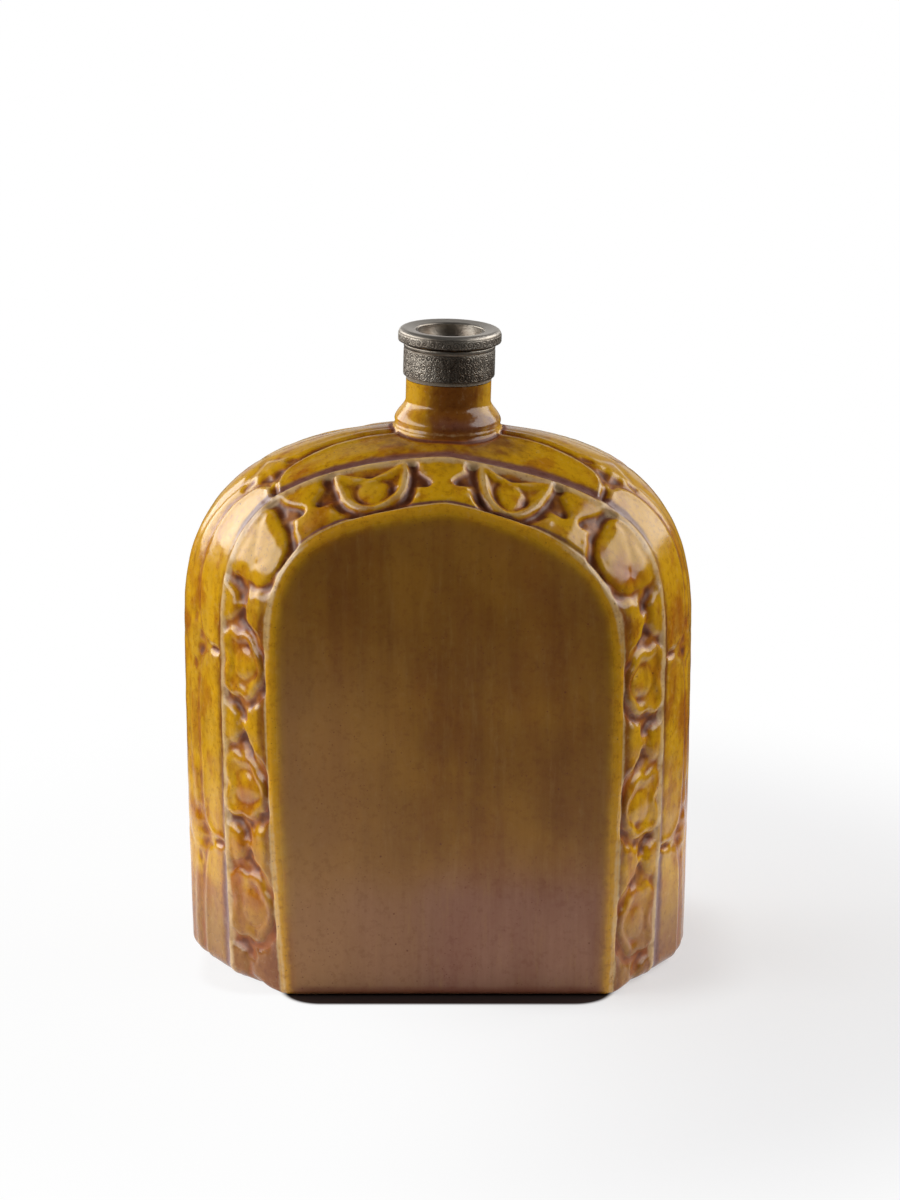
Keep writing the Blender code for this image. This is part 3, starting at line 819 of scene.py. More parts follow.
@dataclass(frozen=True)
class BorderRelief:
    """The chamfered border: blossoms, each in its groove, and leaves in pairs between them."""

    width: float = 26.6
    groove: float = 2.1
    pocket_depth: float = 1.7
    dot: Point = (22.6, 14.0)
    dot_depth: float = 0.8
    knob: Point = (17.6, 7.0)
    knob_rise: float = 0.7
    split_depth: float = 2.0
    vein_rise: float = 0.75
    beyond_last: float = 26.0
    scooped: Figure = Figure((
        (0, 20.8), (6.0, 22.4), (11.0, 24.8), (14.0, 26.4), (14.9, 23.4), (14.1, 17.4),
        (12.8, 11.8), (9.8, 7.0), (5.4, 3.8), (0, 2.4)))
    cushion: Figure = Figure((
        (0, 25.0), (7.4, 25.8), (12.4, 24.6), (13.6, 20.6), (12.6, 15.6), (13.2, 10.2),
        (10.4, 5.8), (5.0, 4.6), (0, 3.4)))
    lobed: Figure = Figure((
        (0, 23.6), (5.6, 26.0), (11.2, 25.8), (14.8, 21.4), (12.2, 17.6), (14.2, 13.0),
        (12.2, 8.6), (8.8, 7.4), (6.6, 4.0), (3.2, 2.6), (0, 2.0)))
    pocket: Figure = Figure((
        (14.6, 25.4), (17.8, 25.0), (19.8, 20.4), (25.0, 15.4), (24.4, 12.4), (18.4, 12.2),
        (15.0, 13.4)), mirrored=False)
    bud: Figure = Figure((
        (-7.8, 13.4), (-6.8, 18.2), (-2.8, 20.4), (2.4, 20.0), (6.8, 18.0), (8.4, 13.2),
        (5.4, 7.6), (0.4, 4.8), (-5.0, 7.8)), mirrored=False)
    split: Stroke = Stroke((
        (-9.0, 20.5), (-6.2, 16.4), (-2.4, 17.6), (1.2, 16.2), (5.8, 16.6), (8.8, 12.0)))
    openness: tuple[float, ...] = (1.0, 0.0, 0.9, 0.75, 0.8)

    def height(self, hand: Hand, along: Array, across: Array) -> Array:
        """Shape one side of the border.

        Args:
            hand: The side.
            along: Distance from the apex down the border.
            across: Distance from the panel's edge, up to the width at the rib.

        Returns:
            How far the surface stands below the plain border, as positive millimetres.
        """
        # Places from the nearest blossom, and from the nearest gap between two
        centres = np.array(BLOSSOM_PLACES[hand])
        last = centres[-1] + self.beyond_last
        middles = np.concatenate([(centres[1:] + centres[:-1]) / 2, [last]])
        index = np.argmin(np.abs(along[..., None] - centres), -1)
        x = along - centres[index]
        beside = along - middles[np.argmin(np.abs(along[..., None] - middles), -1)]
        petal = np.choose(np.minimum(index, 2), [
            figure.depth_inside(x, across) for figure in (self.scooped, self.cushion, self.lobed)])
        # The groove round the blossom, deeper on one side and shallower at the rib
        wander = np.sin(along * 0.37 + across * 0.31) * np.cos(across * 0.43 - along * 0.19)
        lower = eased(0.5 + x / 12) * (index > 1) + eased(0.5 - x / 10) * (index == 1)
        share = 0.70 + 0.28 * wander + 0.34 * np.where(index == 0, 0.9, lower)
        depth = self.moat(petal) * share
        depth *= 1 - 0.5 * eased((across - 21.5) / 3.0) * (np.abs(x) < 12.5)
        # The leaves between blossoms, with a knob beside each and a vein in the gap
        depth = self.leaves(depth, np.abs(x), across)
        knob = bump(np.hypot(np.abs(x) - self.knob[0], across - self.knob[1]), 2.0)
        depth -= self.knob_rise * knob * (petal < 0)
        split = bump(self.split.distance(beside, across), 2.0)
        depth += self.split_depth * split * eased((along - 90) / 15)
        depth -= self.vein_rise * bump(beside, 6.0) * eased(across / 6.0) * eased((27 - across) / 5)
        # The blossom itself, more or less open
        open_share = np.array(self.openness)[index]
        depth += self.flower(petal, x * hand.value, across) * open_share
        depth += self.folds(petal, x, across) * (index > 1)
        depth += self.dome(petal, x, across) * (1 - open_share)
        # Low channels along the panel's edge and the rib
        upright = eased((along - 60) / 30)
        depth += 0.9 * bump(across - 2.2, 1.2) * (1 - upright)
        depth += 0.6 * bump(across - 2.8, 2.6) * upright + 0.25 * bump(across - 24.4, 1.4)
        return depth * (1 - 0.18 * upright - 0.25 * eased((along - 190) / 70))

    def leaves(self, depth: Array, x: Array, across: Array) -> Array:
        """Sink the pockets beside a blossom's leaves, and a dot in each leaf.

        Args:
            depth: The border's depth so far.
            x: Distance from the blossom's middle, to either side.
            across: Distance from the panel's edge.

        Returns:
            The new depth.
        """
        hollow = self.pocket.depth_inside(x, across)
        depth = np.maximum(depth, self.pocket_depth * eased((hollow + 0.9) / 2.4))
        return depth + self.dot_depth * bump(np.hypot(x - self.dot[0], across - self.dot[1]), 1.8)

    def moat(self, petal: Array) -> Array:
        """The groove round a blossom: steep at the petals, gentle on the leaves' side."""
        outside = -petal
        return self.groove * eased((outside + 0.3) / 1.9) * (1 - eased((outside - 2.9) / 3.8))

    @staticmethod
    def folds(petal: Array, x: Array, across: Array) -> Array:
        """Folds that spread over the petals from the blossom's foot."""
        turn = np.arctan2(x, across - 2.0)
        return -0.34 * np.cos(turn * 4.4) * eased(petal / 1.6) * eased((across - 5) / 6)

    def flower(self, petal: Array, turn: Array, across: Array) -> Array:
        """Open a blossom: a raised rim of petals, which falls away to the bud.

        Args:
            petal: How far inside the petals' outline a point lies.
            turn: Its place along the border, counted towards the foot on both sides.
            across: Its distance from the panel's edge.

        Returns:
            The depth to add, negative where the surface rises.
        """
        within = eased(petal / 0.9)
        bud = self.bud.depth_inside(turn, across)
        rim = -0.5 * bump(petal - 1.5, 1.3)
        slope = 0.85 * eased((petal - 1.8) / 2.8)
        swell = -0.55 * eased((bud - 0.4) / 3.4)
        seam = 0.55 * bump(bud + 0.1, 1.0)
        spot = 0.85 * bump(np.hypot(turn - 7.6, across - 12.6), 1.9)
        return (rim + slope + swell + seam + spot) * within

    def dome(self, petal: Array, x: Array, across: Array) -> Array:
        """A plump cushion in place of open petals, with a low fold across it."""
        swell = -0.85 * eased(petal / 5.0)
        fold = 0.5 * bump(x * 0.6 + across - 18.5, 2.0) + 0.35 * bump(x * 0.8 - across + 9.0, 1.8)
        return swell + fold * eased(petal / 2.0)


@dataclass(frozen=True)
class StripRelief:
    """The plain strip and the side field: long lobes that meet in small pits."""

    width: float = 22.0
    reach: float = 42.0
    pit_depth: float = 1.7
    leaf_depth: float = 0.9
    drop_depth: float = 1.1
    outer_depth: float = 0.6
    pit: Figure = Figure((
        (0, 2.6), (1.5, 3.6), (2.1, 6.4), (1.9, 9.4), (0.9, 11.8), (0, 12.6)))
    drop: Figure = Figure((
        (6.0, 24.8), (9.0, 23.8), (12.0, 24.2), (13.2, 25.4), (10.6, 27.4), (7.0, 27.2)),
        mirrored=False)
    leaf: Figure = Figure((
        (0, 14.6), (1.9, 17.0), (4.8, 19.8), (6.4, 22.4), (3.0, 23.6), (0, 24.0)))
    lobe: tuple[Point, ...] = (
        (0, 3.0), (1.6, 8.0), (2.6, 12.0), (4.4, 16.0), (7.6, 18.8), (12.0, 20.4), (19.0, 21.6),
        (28.0, 22.6), (40.0, 23.2))
    outer: tuple[Point, ...] = (
        (0, 35.0), (5.0, 29.5), (10.0, 27.2), (17.0, 28.4), (28.0, 30.8), (40.0, 32.0))

    def height(self, hand: Hand, along: Array, across: Array) -> Array:
        """Shape one side of the strip and field.

        Args:
            hand: The side.
            along: Distance from the apex down the strip.
            across: Distance from the rib outwards.

        Returns:
            How far the surface stands below the plain one, as positive millimetres.
        """
        knots = np.array(KNOT_PLACES[hand])
        x = along - knots[np.argmin(np.abs(along[..., None] - knots), -1)]
        # The groove along the lobes' edge, and a raised line inside it
        beyond = self.past(self.lobe, x, across)
        top = 1 - eased((along - 55) / 25)
        depth = eased((beyond + 0.4) / 1.4) * (1 - eased((beyond - 1.4) / 5.0)) * (1 + 0.6 * top)
        depth -= 0.4 * bump(beyond + 1.5, 1.1)
        # The pit where two lobes meet, and the leaf and drops outside it
        pit = self.pit.depth_inside(x, across)
        depth = np.maximum(depth, 0) * (1 - eased((pit + 1.5) / 1.5)) + np.minimum(depth, 0)
        depth += self.pit_depth * eased((pit + 0.5) / 2.1) - 0.35 * bump(pit + 1.5, 1.0)
        leaf, drop = self.leaf.depth_inside(x, across), self.drop.depth_inside(np.abs(x), across)
        depth += self.leaf_depth * eased((leaf + 0.3) / 1.8)
        depth += self.drop_depth * eased((drop + 0.6) / 1.6)
        # The outer groove, and the channel beside the rib
        farther = self.past(self.outer, x, across)
        beyond_rim = eased((farther + 0.4) / 1.6) * (1 - eased((farther - 1.4) / 5.0))
        depth += self.outer_depth * beyond_rim * (1 - 0.8 * top)
        channel = (0.45 + 0.85 * top) * bump(across - 3.0 - 1.4 * top, 1.7 + 1.3 * top)
        return depth + channel

    @staticmethod
    def past(edge: tuple[Point, ...], x: Array, across: Array) -> Array:
        """Measure how far points lie beyond an edge.

        Args:
            edge: The edge on one side of a knot, which the other side mirrors.
            x: Distances from the knot, along the strip.
            across: Distances from the rib.

        Returns:
            The distances, negative short of the edge.
        """
        places = np.array(edge)
        level = np.interp(np.abs(x), places[:, 0], places[:, 1])
        tilt = np.interp(
            np.abs(x), places[:, 0], np.gradient(places[:, 1]) / np.gradient(places[:, 0]))
        return (across - level) / np.hypot(1, tilt)


@dataclass(frozen=True)
class Unevenness:
    """Soft waves of a hand-pressed surface."""

    seed: int
    waves: int = 14
    shortest: float = 0.018
    longest: float = 0.09

    def at(self, points: Array) -> Array:
        """Work the waves out at points.

        Args:
            points: The points, with their coordinates last.

        Returns:
            The waves' height, from 0 to 1.
        """
        chance = np.random.default_rng(self.seed)
        total = np.zeros(points.shape[:-1])
        weight = 0.0
        for _ in range(self.waves):
            length = chance.uniform(self.shortest, self.longest)
            direction = chance.normal(size=3)
            direction /= np.linalg.norm(direction)
            total += length * np.sin(points @ direction * 2 * pi / length + chance.uniform(0, 7))
            weight += length
        return 0.5 + 0.5 * np.clip(total / weight * 2.2, -1, 1)


@dataclass(frozen=True)
class NeckSeat:
    """Where the neck stands on the shoulder, how it leans and how wide its foot is."""

    offset: float = 0.004
    height: float = 0.2276
    lean: float = radians(1.5)
    foot: float = 0.0222

    @property
    def place(self) -> Matrix:
        """The neck's axis, seen from the origin."""
        lean = Matrix.Rotation(self.lean, 4, "Y")
        return Matrix.Translation((self.offset, 0, self.height)) @ lean

    def distance(self, points: Array) -> Array:
        """Distance of points from the neck's axis."""
        axis = np.array([sin(self.lean), 0, cos(self.lean)])
        return np.linalg.norm(np.cross(points - [self.offset, 0, self.height], axis), axis=-1)


class Facing(Enum):
    """Which half of the body a shell is, by the way that its panel faces."""

    FRONT = -1
    BACK = 1


@dataclass
class ShellHalf:
    """One press-moulded half: a dense relief skin outside and a plain wall inside.

    The skin is a grid.  Its rows climb from the ground to the crown.  Its columns run from the
    seam over the side field, the strip and the border to the panel, and down the other side.
    """

    facing: Facing
    seat: NeckSeat = NeckSeat()
    border: BorderRelief = BorderRelief()
    strip: StripRelief = StripRelief()
    wall: float = 0.006
    seam_gap: float = 0.00002
    front_foot: float = 0.0018
    side_foot: float = 0.0060
    foot_lift: float = 0.0006
    stand_inset: float = 0.0054
    rows: int = 380
    foot_shares: tuple[float, ...] = (0.0, 0.0004, 0.0010, 0.0019, 0.0032, 0.0050, 0.0072)
    first_even_share: float = 0.0095
    field_steps: int = 16
    strip_steps: int = 24
    border_steps: int = 46
    panel_steps: int = 24
    rim_places: tuple[float, ...] = (0, 0.7, 1.4, 2.2, 3.1, 4.1, 5.3, 6.8, 9.0)
    inner_row_step: int = 10
    inner_column_step: int = 8
    corner_columns: int = 12
    panel_round: float = 0.0026
    panel_drop: float = 0.0008
    panel_fade: float = 0.0066
    border_fade: float = 0.004
    rib_round: float = 0.0034
    side_round: float = 0.0060
    panel_wave: float = 0.00045
    soft_height: float = 0.215
    full_hollow: float = 2.1
    hole_radius: float = 0.0158
    hole_sides: int = 64
    punch_length: float = 0.06

    @property
    def name(self) -> str:
        """The CAD node that this piece stands for."""
        return "front_shell" if self.facing is Facing.FRONT else "back_shell"

    @property
    def rib_column(self) -> int:
        """The skin's column along the rib."""
        return self.field_steps + self.strip_steps

    @property
    def edge_column(self) -> int:
        """The skin's column along the panel's edge."""
        return self.rib_column + self.border_steps

    def shares(self) -> Array:
        """Shares of the way up at which rows lie, closer together at the rounded foot."""
        even = np.linspace(self.first_even_share, 1.0, self.rows - len(self.foot_shares))
        return np.concatenate([self.foot_shares, even])

    def rims(self) -> Array:
        """Distances from the panel's outline of the columns just inside it."""
        return np.array(self.rim_places) * MILLIMETRE

    def side_skin(self, hand: Hand) -> dict[str, Array]:
        """Lay out one side of the skin, from the seam to just inside the panel's edge.

        Args:
            hand: The side.

        Returns:
            Arrays by name: the points, and each point's place along and across the reliefs.
        """
        shares = self.shares()
        panel, rib, side_line, seam = (
            section.line(hand, shares) for section in (PANEL, RIB, SIDE_LINE, SEAM))
        field, strip, border = (
            np.linspace(1, 0, steps, endpoint=False)
            for steps in (self.field_steps, self.strip_steps, self.border_steps))
        columns = []
        for share in field:
            lift = sin(share * pi / 2)
            columns.append(np.stack([
                side_line[:, 0] + (seam[:, 0] - side_line[:, 0]) * lift,
                side_line[:, 1] * (1 - share),
                side_line[:, 2] + (seam[:, 2] - side_line[:, 2]) * lift], -1))
        columns += [rib + (side_line - rib) * share for share in strip]
        columns += [panel + (rib - panel) * share for share in border]
        inward = self.panel_inward(hand, panel, shares)
        columns += [panel + inward * step for step in self.rims()]
        points = np.stack(columns, 1)
        self.round_corners(points)
        width, reach = self.strip.width, self.strip.reach
        across = np.concatenate([
            width + (reach - width) * field, width * strip, self.border.width * border])
        return {
            "points": points,
            "across": np.tile(across, (len(shares), 1)),
            "strip_mid": (rib + side_line) / 2,
            "border_mid": (panel + rib) / 2,
        }

    def panel_inward(self, hand: Hand, panel: Array, shares: Array) -> Array:
        """Find the directions in the panel's plane that lead in from its outline.

        Args:
            hand: The side.
            panel: The outline's points.
            shares: Shares of the way up at which they lie.

        Returns:
            One direction for each point.
        """
        run = np.gradient(panel, axis=0)
        level = np.array([-hand.value, 0.0, 0.0])
        inward = np.stack([
            -hand.value * np.abs(run[:, 2]), np.zeros(len(run)), -np.abs(run[:, 0])], -1)
        inward /= np.linalg.norm(inward, axis=1)[:, None]
        inward[:2] = level
        down = eased((shares - 0.93) / 0.07)[:, None]
        inward = inward * (1 - down) + np.array([0, 0, -1.0]) * down
        foot = eased((0.05 - shares) / 0.05)[:, None]
        inward = inward * (1 - foot) + level * foot
        return inward / np.linalg.norm(inward, axis=1)[:, None]

    def round_corners(self, points: Array) -> None:
        """Round the side line, the rib and the panel's edge, which also falls away gently.

        Args:
            points: The skin's points, which are moved.
        """
        rib, edge = self.rib_column, self.edge_column
        for corner, radius in (
                (self.field_steps, self.side_round), (rib, self.rib_round),
                (edge, self.panel_round)):
            centre = points[:, corner].copy()
            before = points[:, corner - 1] - centre
            after = points[:, corner + 1] - centre
            before /= np.linalg.norm(before, axis=1)[:, None]
            after /= np.linalg.norm(after, axis=1)[:, None]
            first = max(corner - self.corner_columns, 0)
            last = min(corner + self.corner_columns, points.shape[1])
            for column in range(first, last):
                gap = np.linalg.norm(points[:, column] - centre, axis=1)
                near = gap < radius
                sign = 1 if column > corner else -1
                share = ((radius + sign * gap) / (2 * radius))[:, None]
                curve = centre + radius * ((1 - share) ** 2 * before + share ** 2 * after)
                points[near, column] = curve[near]
        inside = np.clip(1 - self.rims() / self.panel_fade, 0, 1) ** 2
        steps = np.arange(self.border_steps, 0, -1) / self.border_steps
        steps = steps * self.border.width * MILLIMETRE
        outside = np.clip(1 - steps / self.border_fade, 0, 1) ** 2
        points[:, rib:, 1] += self.panel_drop * np.concatenate([outside, inside])

    def normals(self, points: Array, hand: Hand) -> Array:
        """Find the outward directions of a skin.

        Args:
            points: Its points.
            hand: Its side.

        Returns:
            One direction for each point, level at the seam and the foot.
        """
        down = np.gradient(points, axis=0)
        over = np.gradient(points, axis=1)
        outward = np.cross(over, down) * -hand.value
        outward /= np.maximum(np.linalg.norm(outward, axis=-1)[..., None], TINY)
        outward[:, 0, 1] = 0.0
        outward[0, :, 2] = outward[1, :, 2] = 0.0
        outward[:, -2:] = (0, -1, 0)
        return outward / np.maximum(np.linalg.norm(outward, axis=-1)[..., None], TINY)

    @staticmethod
    def along(points: Array, middle: Array) -> Array:
        """Measure how far down a border points lie, square to its middle line.

        Args:
            points: A (row, column, 3) array.
            middle: The middle line, row by row from the foot to the crown.

        Returns:
            Distances from the apex, in millimetres.
        """
        flat = middle[::-1][:, [0, 2]]
        steps = np.linalg.norm(np.diff(flat, axis=0), axis=1)
        walked = np.concatenate([[0], np.cumsum(steps)])
        place = np.repeat(walked[::-1][:, None], points.shape[1], 1)
        start = place.copy()
        run = np.gradient(flat, walked, axis=0)
        smooth = np.ones(21) / 21
        run = np.stack([
            np.convolve(np.pad(run[:, axis], 10, mode="edge"), smooth, "valid")
            for axis in (0, 1)], -1)
        for _ in range(6):
            at = [np.interp(place, walked, flat[:, axis]) for axis in (0, 1)]
            towards = [np.interp(place, walked, run[:, axis]) for axis in (0, 1)]
            step = (points[..., 0] - at[0]) * towards[0] + (points[..., 2] - at[1]) * towards[1]
            place = np.clip(place + step, 0, walked[-1])
        leaving = eased(start / 0.012)
        return (start + (place - start) * leaving) / MILLIMETRE

    def reliefs(self, hand: Hand, skin: dict[str, Array]) -> Array:
        """Draw the reliefs of one side.

        Args:
            hand: The side.
            skin: What side_skin laid out.

        Returns:
            How far each point goes in, in millimetres: nothing at the panel's edge, nor at the
            rib on the strip's side.
        """
        rib, edge = self.rib_column, self.edge_column
        points, across = skin["points"], skin["across"]
        strip, border = points[:, :rib], points[:, rib:edge]
        sway = Unevenness(seed=21, shortest=0.014, longest=0.045)
        swing = Unevenness(seed=22, shortest=0.014, longest=0.045)
        depth = np.zeros(points.shape[:2])
        depth[:, :rib] = self.strip.height(
            hand, self.along(strip, skin["strip_mid"]) + (sway.at(strip) - 0.5) * 3.0,
            across[:, :rib] + (swing.at(strip) - 0.5) * 1.8)
        depth[:, rib:edge] = self.border.height(
            hand, self.along(border, skin["border_mid"]) + (sway.at(border) - 0.5) * 2.8,
            across[:, rib:edge] + (swing.at(border) - 0.5) * 1.9)
        depth[:, :rib] *= eased((across[:, :rib] - 0.5) / 2.0)
        depth[:, rib:edge] *= eased((across[:, rib:edge] - 0.2) / 1.0)
        return self.blurred(depth, 1)

    def from_rib(self, across: Array) -> Array:
        """Distances from the rib of the columns up to the panel's edge, in millimetres."""
        return np.where(
            np.arange(self.edge_column) < self.rib_column, across, self.border.width - across)

    def carve(self, hand: Hand, skin: dict[str, Array]) -> dict[str, Array]:
        """Press the reliefs into one side of the skin.

        Args:
            hand: The side.
            skin: What side_skin laid out.

        Returns:
            The carved points and their marks.
        """
        points, across, edge = skin["points"], skin["across"], self.edge_column
        outward = self.normals(points, hand)
        depth = self.reliefs(hand, skin)
        wide = self.blurred(depth, 12)
        lower = eased((self.soft_height - points[..., 2]) / 0.03)
        uneven = Unevenness(seed=3 + (self.facing is Facing.BACK)).at(points) * 0.35
        ripple = Unevenness(seed=5, waves=24, shortest=0.005, longest=0.014).at(points) - 0.5
        ripple[:, edge:] = 0.0
        uneven += ripple * 0.22
        uneven[:, :edge] -= (0.65 + ripple[:, :edge] * 0.8) * bump(self.from_rib(across), 2.3)
        soft = depth + (self.blurred(depth, 3) - depth) * lower * 0.85
        moved = points - outward * ((soft + uneven) * MILLIMETRE)[..., None]
        moved = self.round_foot(moved, outward)
        moved[:, 0, 1] = -self.seam_gap
        return {
            "points": moved,
            "hollow": self.hollows(points, depth, wide) * (1 - 0.22 * lower),
            "crest": self.crests(points, across, (wide - depth) * 1.3, ripple),
            "channel": self.channels(points, across),
            "thick": self.thickness(points, across)} | self.panel_marks(across)

    def hollows(self, points: Array, depth: Array, wide: Array) -> Array:
        """Mark the hollows of the relief, and a collar round the neck's foot.

        Args:
            points: The skin's points before they are carved.
            depth: The relief.
            wide: The relief, widely blurred.

        Returns:
            From 0 to about 1 in the deepest hollows.
        """
        deep = np.clip(depth / self.full_hollow, 0, 1) * 0.75
        hollow = deep + np.clip((depth - wide) * 1.1, 0, 1) * 0.4
        ring = self.seat.distance(points) - self.seat.foot
        return np.maximum(hollow, 1 - eased((ring - 0.0006) / 0.0030))

    def crests(self, points: Array, across: Array, rise: Array, ripple: Array) -> Array:
        """Mark what stands up, where the glaze thins: crests, the rib and the panel's edge, partly
        as painted highlights.

        Args:
            points: The skin's points before they are carved.
            across: Their places across the reliefs.
            rise: How far the relief stands above what lies round it.
            ripple: Fine waves, from -0.5 to 0.5.

        Returns:
            From 0 to 1 on the highest crests.
        """
        rib, edge = self.rib_column, self.edge_column
        lower = eased((self.soft_height - points[..., 2]) / 0.03)
        crest = np.clip(rise, 0, 1) * (1 - 0.35 * lower)
        # On the panel's rim, at the haunches and lower down, this mark is a painted highlight of the
        # side lamps.
        level = points[:, edge:, 2]
        bright = eased((level - 0.13) / 0.03) * eased((0.198 - level) / 0.01)
        bright += 0.75 * eased((0.12 - level) / 0.06)
        crest[:, edge:] = bump(self.rims() / MILLIMETRE - 0.6, 1.3) * bright
        # The pale line along the rib and the panel's edge is partly glaze thinning on the ridge and
        # partly a painted highlight.
        gap = np.minimum(across, np.abs(self.border.width - across))
        gap[:, :rib] = across[:, :rib]
        along_rib = 0.9 * bump(gap / (2.0 + 1.4 * ripple[:, :edge]), 1.0)
        crest[:, :edge] = np.maximum(crest[:, :edge], along_rib)
        return crest

    def thickness(self, points: Array, across: Array) -> Array:
        """Mark where the glaze lies thickly: round the neck, in the upright border, by its rims; the
        strips also darken round their middle height.

        Args:
            points: The skin's points before they are carved.
            across: Their places across the reliefs.

        Returns:
            From 0 to about 1 where it is thickest.
        """
        rib, edge = self.rib_column, self.edge_column
        height, ring = points[..., 2], self.seat.distance(points)
        share = 0.56 + 0.12 * eased(0.5 + points[..., 0] / 0.03)
        thick = share * (1 - eased((ring - 0.022) / 0.032)) * (height > 0.19)
        border, strip = height[:, rib:edge], height[:, :rib]
        upright = eased((0.20 - border) / 0.04)
        thick[:, rib:edge] += 0.14 + 0.22 * upright * eased(border / 0.12)
        thick[:, rib:edge] += 0.5 * bump(across[:, rib:edge] - 2.8, 3.2) * upright
        upright = eased((0.19 - strip) / 0.04)
        thick[:, :rib] += 0.55 * bump(across[:, :rib] - 2.6, 2.4) * upright
        # A darker band round the strips' middle height.
        thick[:, :rib] += 0.34 * bump(strip - 0.12, 0.09)
        return thick

    def channels(self, points: Array, across: Array) -> Array:
        """Mark where the glaze pools purple: beside the rib, and beside the panel's edge.

        Args:
            points: The skin's points before they are carved.
            across: Their places across the reliefs.

        Returns:
            From 0 to 1 in the middle of each channel.
        """
        rib, edge = self.rib_column, self.edge_column
        mark = np.zeros(points.shape[:2])
        crown = eased((points[:, :edge, 2] - 0.165) / 0.045)
        foot = 1 - eased((points[:, :rib, 2] - 0.03) / 0.06)
        beside, inner = crown[:, :rib], crown[:, rib:]
        wide = 2.3 + 0.7 * beside + 2.2 * foot
        share = np.maximum(0.15 + 0.8 * beside, 0.75 * foot)
        mark[:, :rib] = bump(across[:, :rib] - 2.8 - 1.2 * beside, wide) * share
        mark[:, rib:edge] = 0.75 * bump(across[:, rib:edge] - 2.4, 1.2) * (0.2 + 0.8 * inner)
        return mark

    def panel_marks(self, across: Array) -> dict[str, Array]:
        """Mark the panel and the rim of glaze round it.

        Args:
            across: Places across the reliefs, up to the panel's edge.

        Returns:
            The two marks, from 0 to 1.
        """
        rib, edge = self.rib_column, self.edge_column
        rims = self.rims()
        panel = np.zeros((self.rows, edge + len(rims)))
        rim = panel.copy()
        panel[:, edge:] = eased((rims - 0.0010) / 0.0072)
        rim[:, edge:] = 1 - eased((rims - 0.0006) / 0.0066)
        rim[:, rib:edge] = bump(across[:, rib:], 1.0)
        return {"panel": panel, "rim": rim}

    @staticmethod
    def blurred(values: Array, times: int) -> Array:
        """Soften a grid of values.

        Args:
            values: The grid.
            times: How many times each value is mixed with its neighbours.

        Returns:
            The softened grid.
        """
        result = values
        for _ in range(times):
            padded = np.pad(result, 1, mode="edge")
            result = (
                padded[:-2, 1:-1] + padded[2:, 1:-1] + padded[1:-1, :-2] + padded[1:-1, 2:]
                + 2 * result) / 6
        return result

    def round_foot(self, points: Array, outward: Array) -> Array:
        """Round the lower edge, which stands off the ground over a foot that is drawn in.

        Args:
            points: The carved skin, row by row from the ground.
            outward: Its outward directions.

        Returns:
            The skin with its foot; the lowest row is where it stands.
        """
        front = eased((np.abs(points[2, :, 1]) - 0.040) / 0.021) ** 2
        radius = self.side_foot + (self.front_foot - self.side_foot) * front
        height = points[..., 2]
        gap = np.clip(radius - height, 0, radius)
        inset = radius - np.sqrt(np.clip(radius ** 2 - gap ** 2, 0, None))
        inset[0] = self.stand_inset
        level = outward * [1, 1, 0]
        level /= np.maximum(np.linalg.norm(level, axis=-1)[..., None], TINY)
        result = points - level * inset[..., None]
        result[..., 2] += self.foot_lift * (1 - eased(height / 0.02))
        result[0, :, 2] = 0.0
        return result

    def join_sides(self, left: Array, right: Array) -> Array:
        """Join two sides' grids into one.

        Args:
            left: The left side, from the seam to the panel.
            right: The right one, laid out in the same way.

        Returns:
            The whole grid, with the panel's columns between them.
        """
        first, last = left[:, -1], right[:, -1]
        shares = np.linspace(0, 1, self.panel_steps + 1)[1:-1]
        middle = np.stack([first + (last - first) * share for share in shares], 1)
        return np.concatenate([left, middle, right[:, ::-1]], 1)

    def build(self) -> bpy.types.Object:
        """Build the shell.

        Returns:
            The closed shell, with the hole for the neck cut through it.
        """
        left, right = (self.carve(hand, self.side_skin(hand)) for hand in Hand)
        grids = {name: self.join_sides(left[name], right[name]) for name in left}
        last_left = left["points"].shape[1] - 1
        panel = grids["points"][:, last_left:last_left + self.panel_steps + 1]
        waves = Unevenness(seed=11 + (self.facing is Facing.BACK)).at(panel)
        shares = np.abs(np.linspace(-1, 1, self.panel_steps + 1))
        room = eased(np.ptp(panel[..., 0], axis=1) / 0.09)[:, None]
        panel[..., 1] += waves * self.panel_wave * (1 - shares ** 2) ** 2 * room
        grids["low"] = 1 - eased(grids["points"][..., 2] / 0.075)
        # The two lowest rows, under the foot's rounded edge, lose their crest and count as deep
        # hollows: painted shade that darkens them.
        grids["crest"][:2] = 0.0
        grids["hollow"][:2] = 1.0
        obj = self.make_mesh(grids)
        self.cut_hole(obj)
        return obj

    def make_mesh(self, grids: dict[str, Array]) -> bpy.types.Object:
        """Join the relief skin to its inner wall.

        Args:
            grids: The skin's points and marks, row by row.

        Returns:
            The closed shell.
        """
        skin = grids["points"]
        rows, columns = skin.shape[:2]
        first = len(self.foot_shares)
        keep_rows = sorted({0, rows - 1}.union(range(first, rows, self.inner_row_step)))
        keep_columns = sorted({columns - 1}.union(range(0, columns, self.inner_column_step)))
        inside = self.inner_wall()[np.ix_(keep_rows, keep_columns)]
        verts = np.concatenate([skin.reshape(-1, 3), inside.reshape(-1, 3)])
        outer = np.arange(rows * columns).reshape(rows, columns)
        inner = outer.size + np.arange(inside[..., 0].size).reshape(inside.shape[:2])
        faces = self.quads(outer) + [face[::-1] for face in self.quads(inner)]
        faces += self.joint_faces(outer, inner)
        if self.facing is Facing.BACK:
            verts = verts * [1, -1, 1]
            faces = [face[::-1] for face in faces]
        name = self.name + "_relief"
        mesh = bpy.data.meshes.new(name)
        mesh.from_pydata(verts.tolist(), [], faces)
        obj = bpy.data.objects.new(name, mesh)
        for mark in GLAZE_MARKS:
            write_mark(obj, mark, np.concatenate([grids[mark].ravel(), np.zeros(inner.size)]))
        bpy.context.scene.collection.objects.link(obj)
        only(obj)
        bpy.ops.object.mode_set(mode="EDIT")
        merge_doubles()
        bpy.ops.mesh.normals_make_consistent(inside=False)
        bpy.ops.object.mode_set(mode="OBJECT")
        return obj

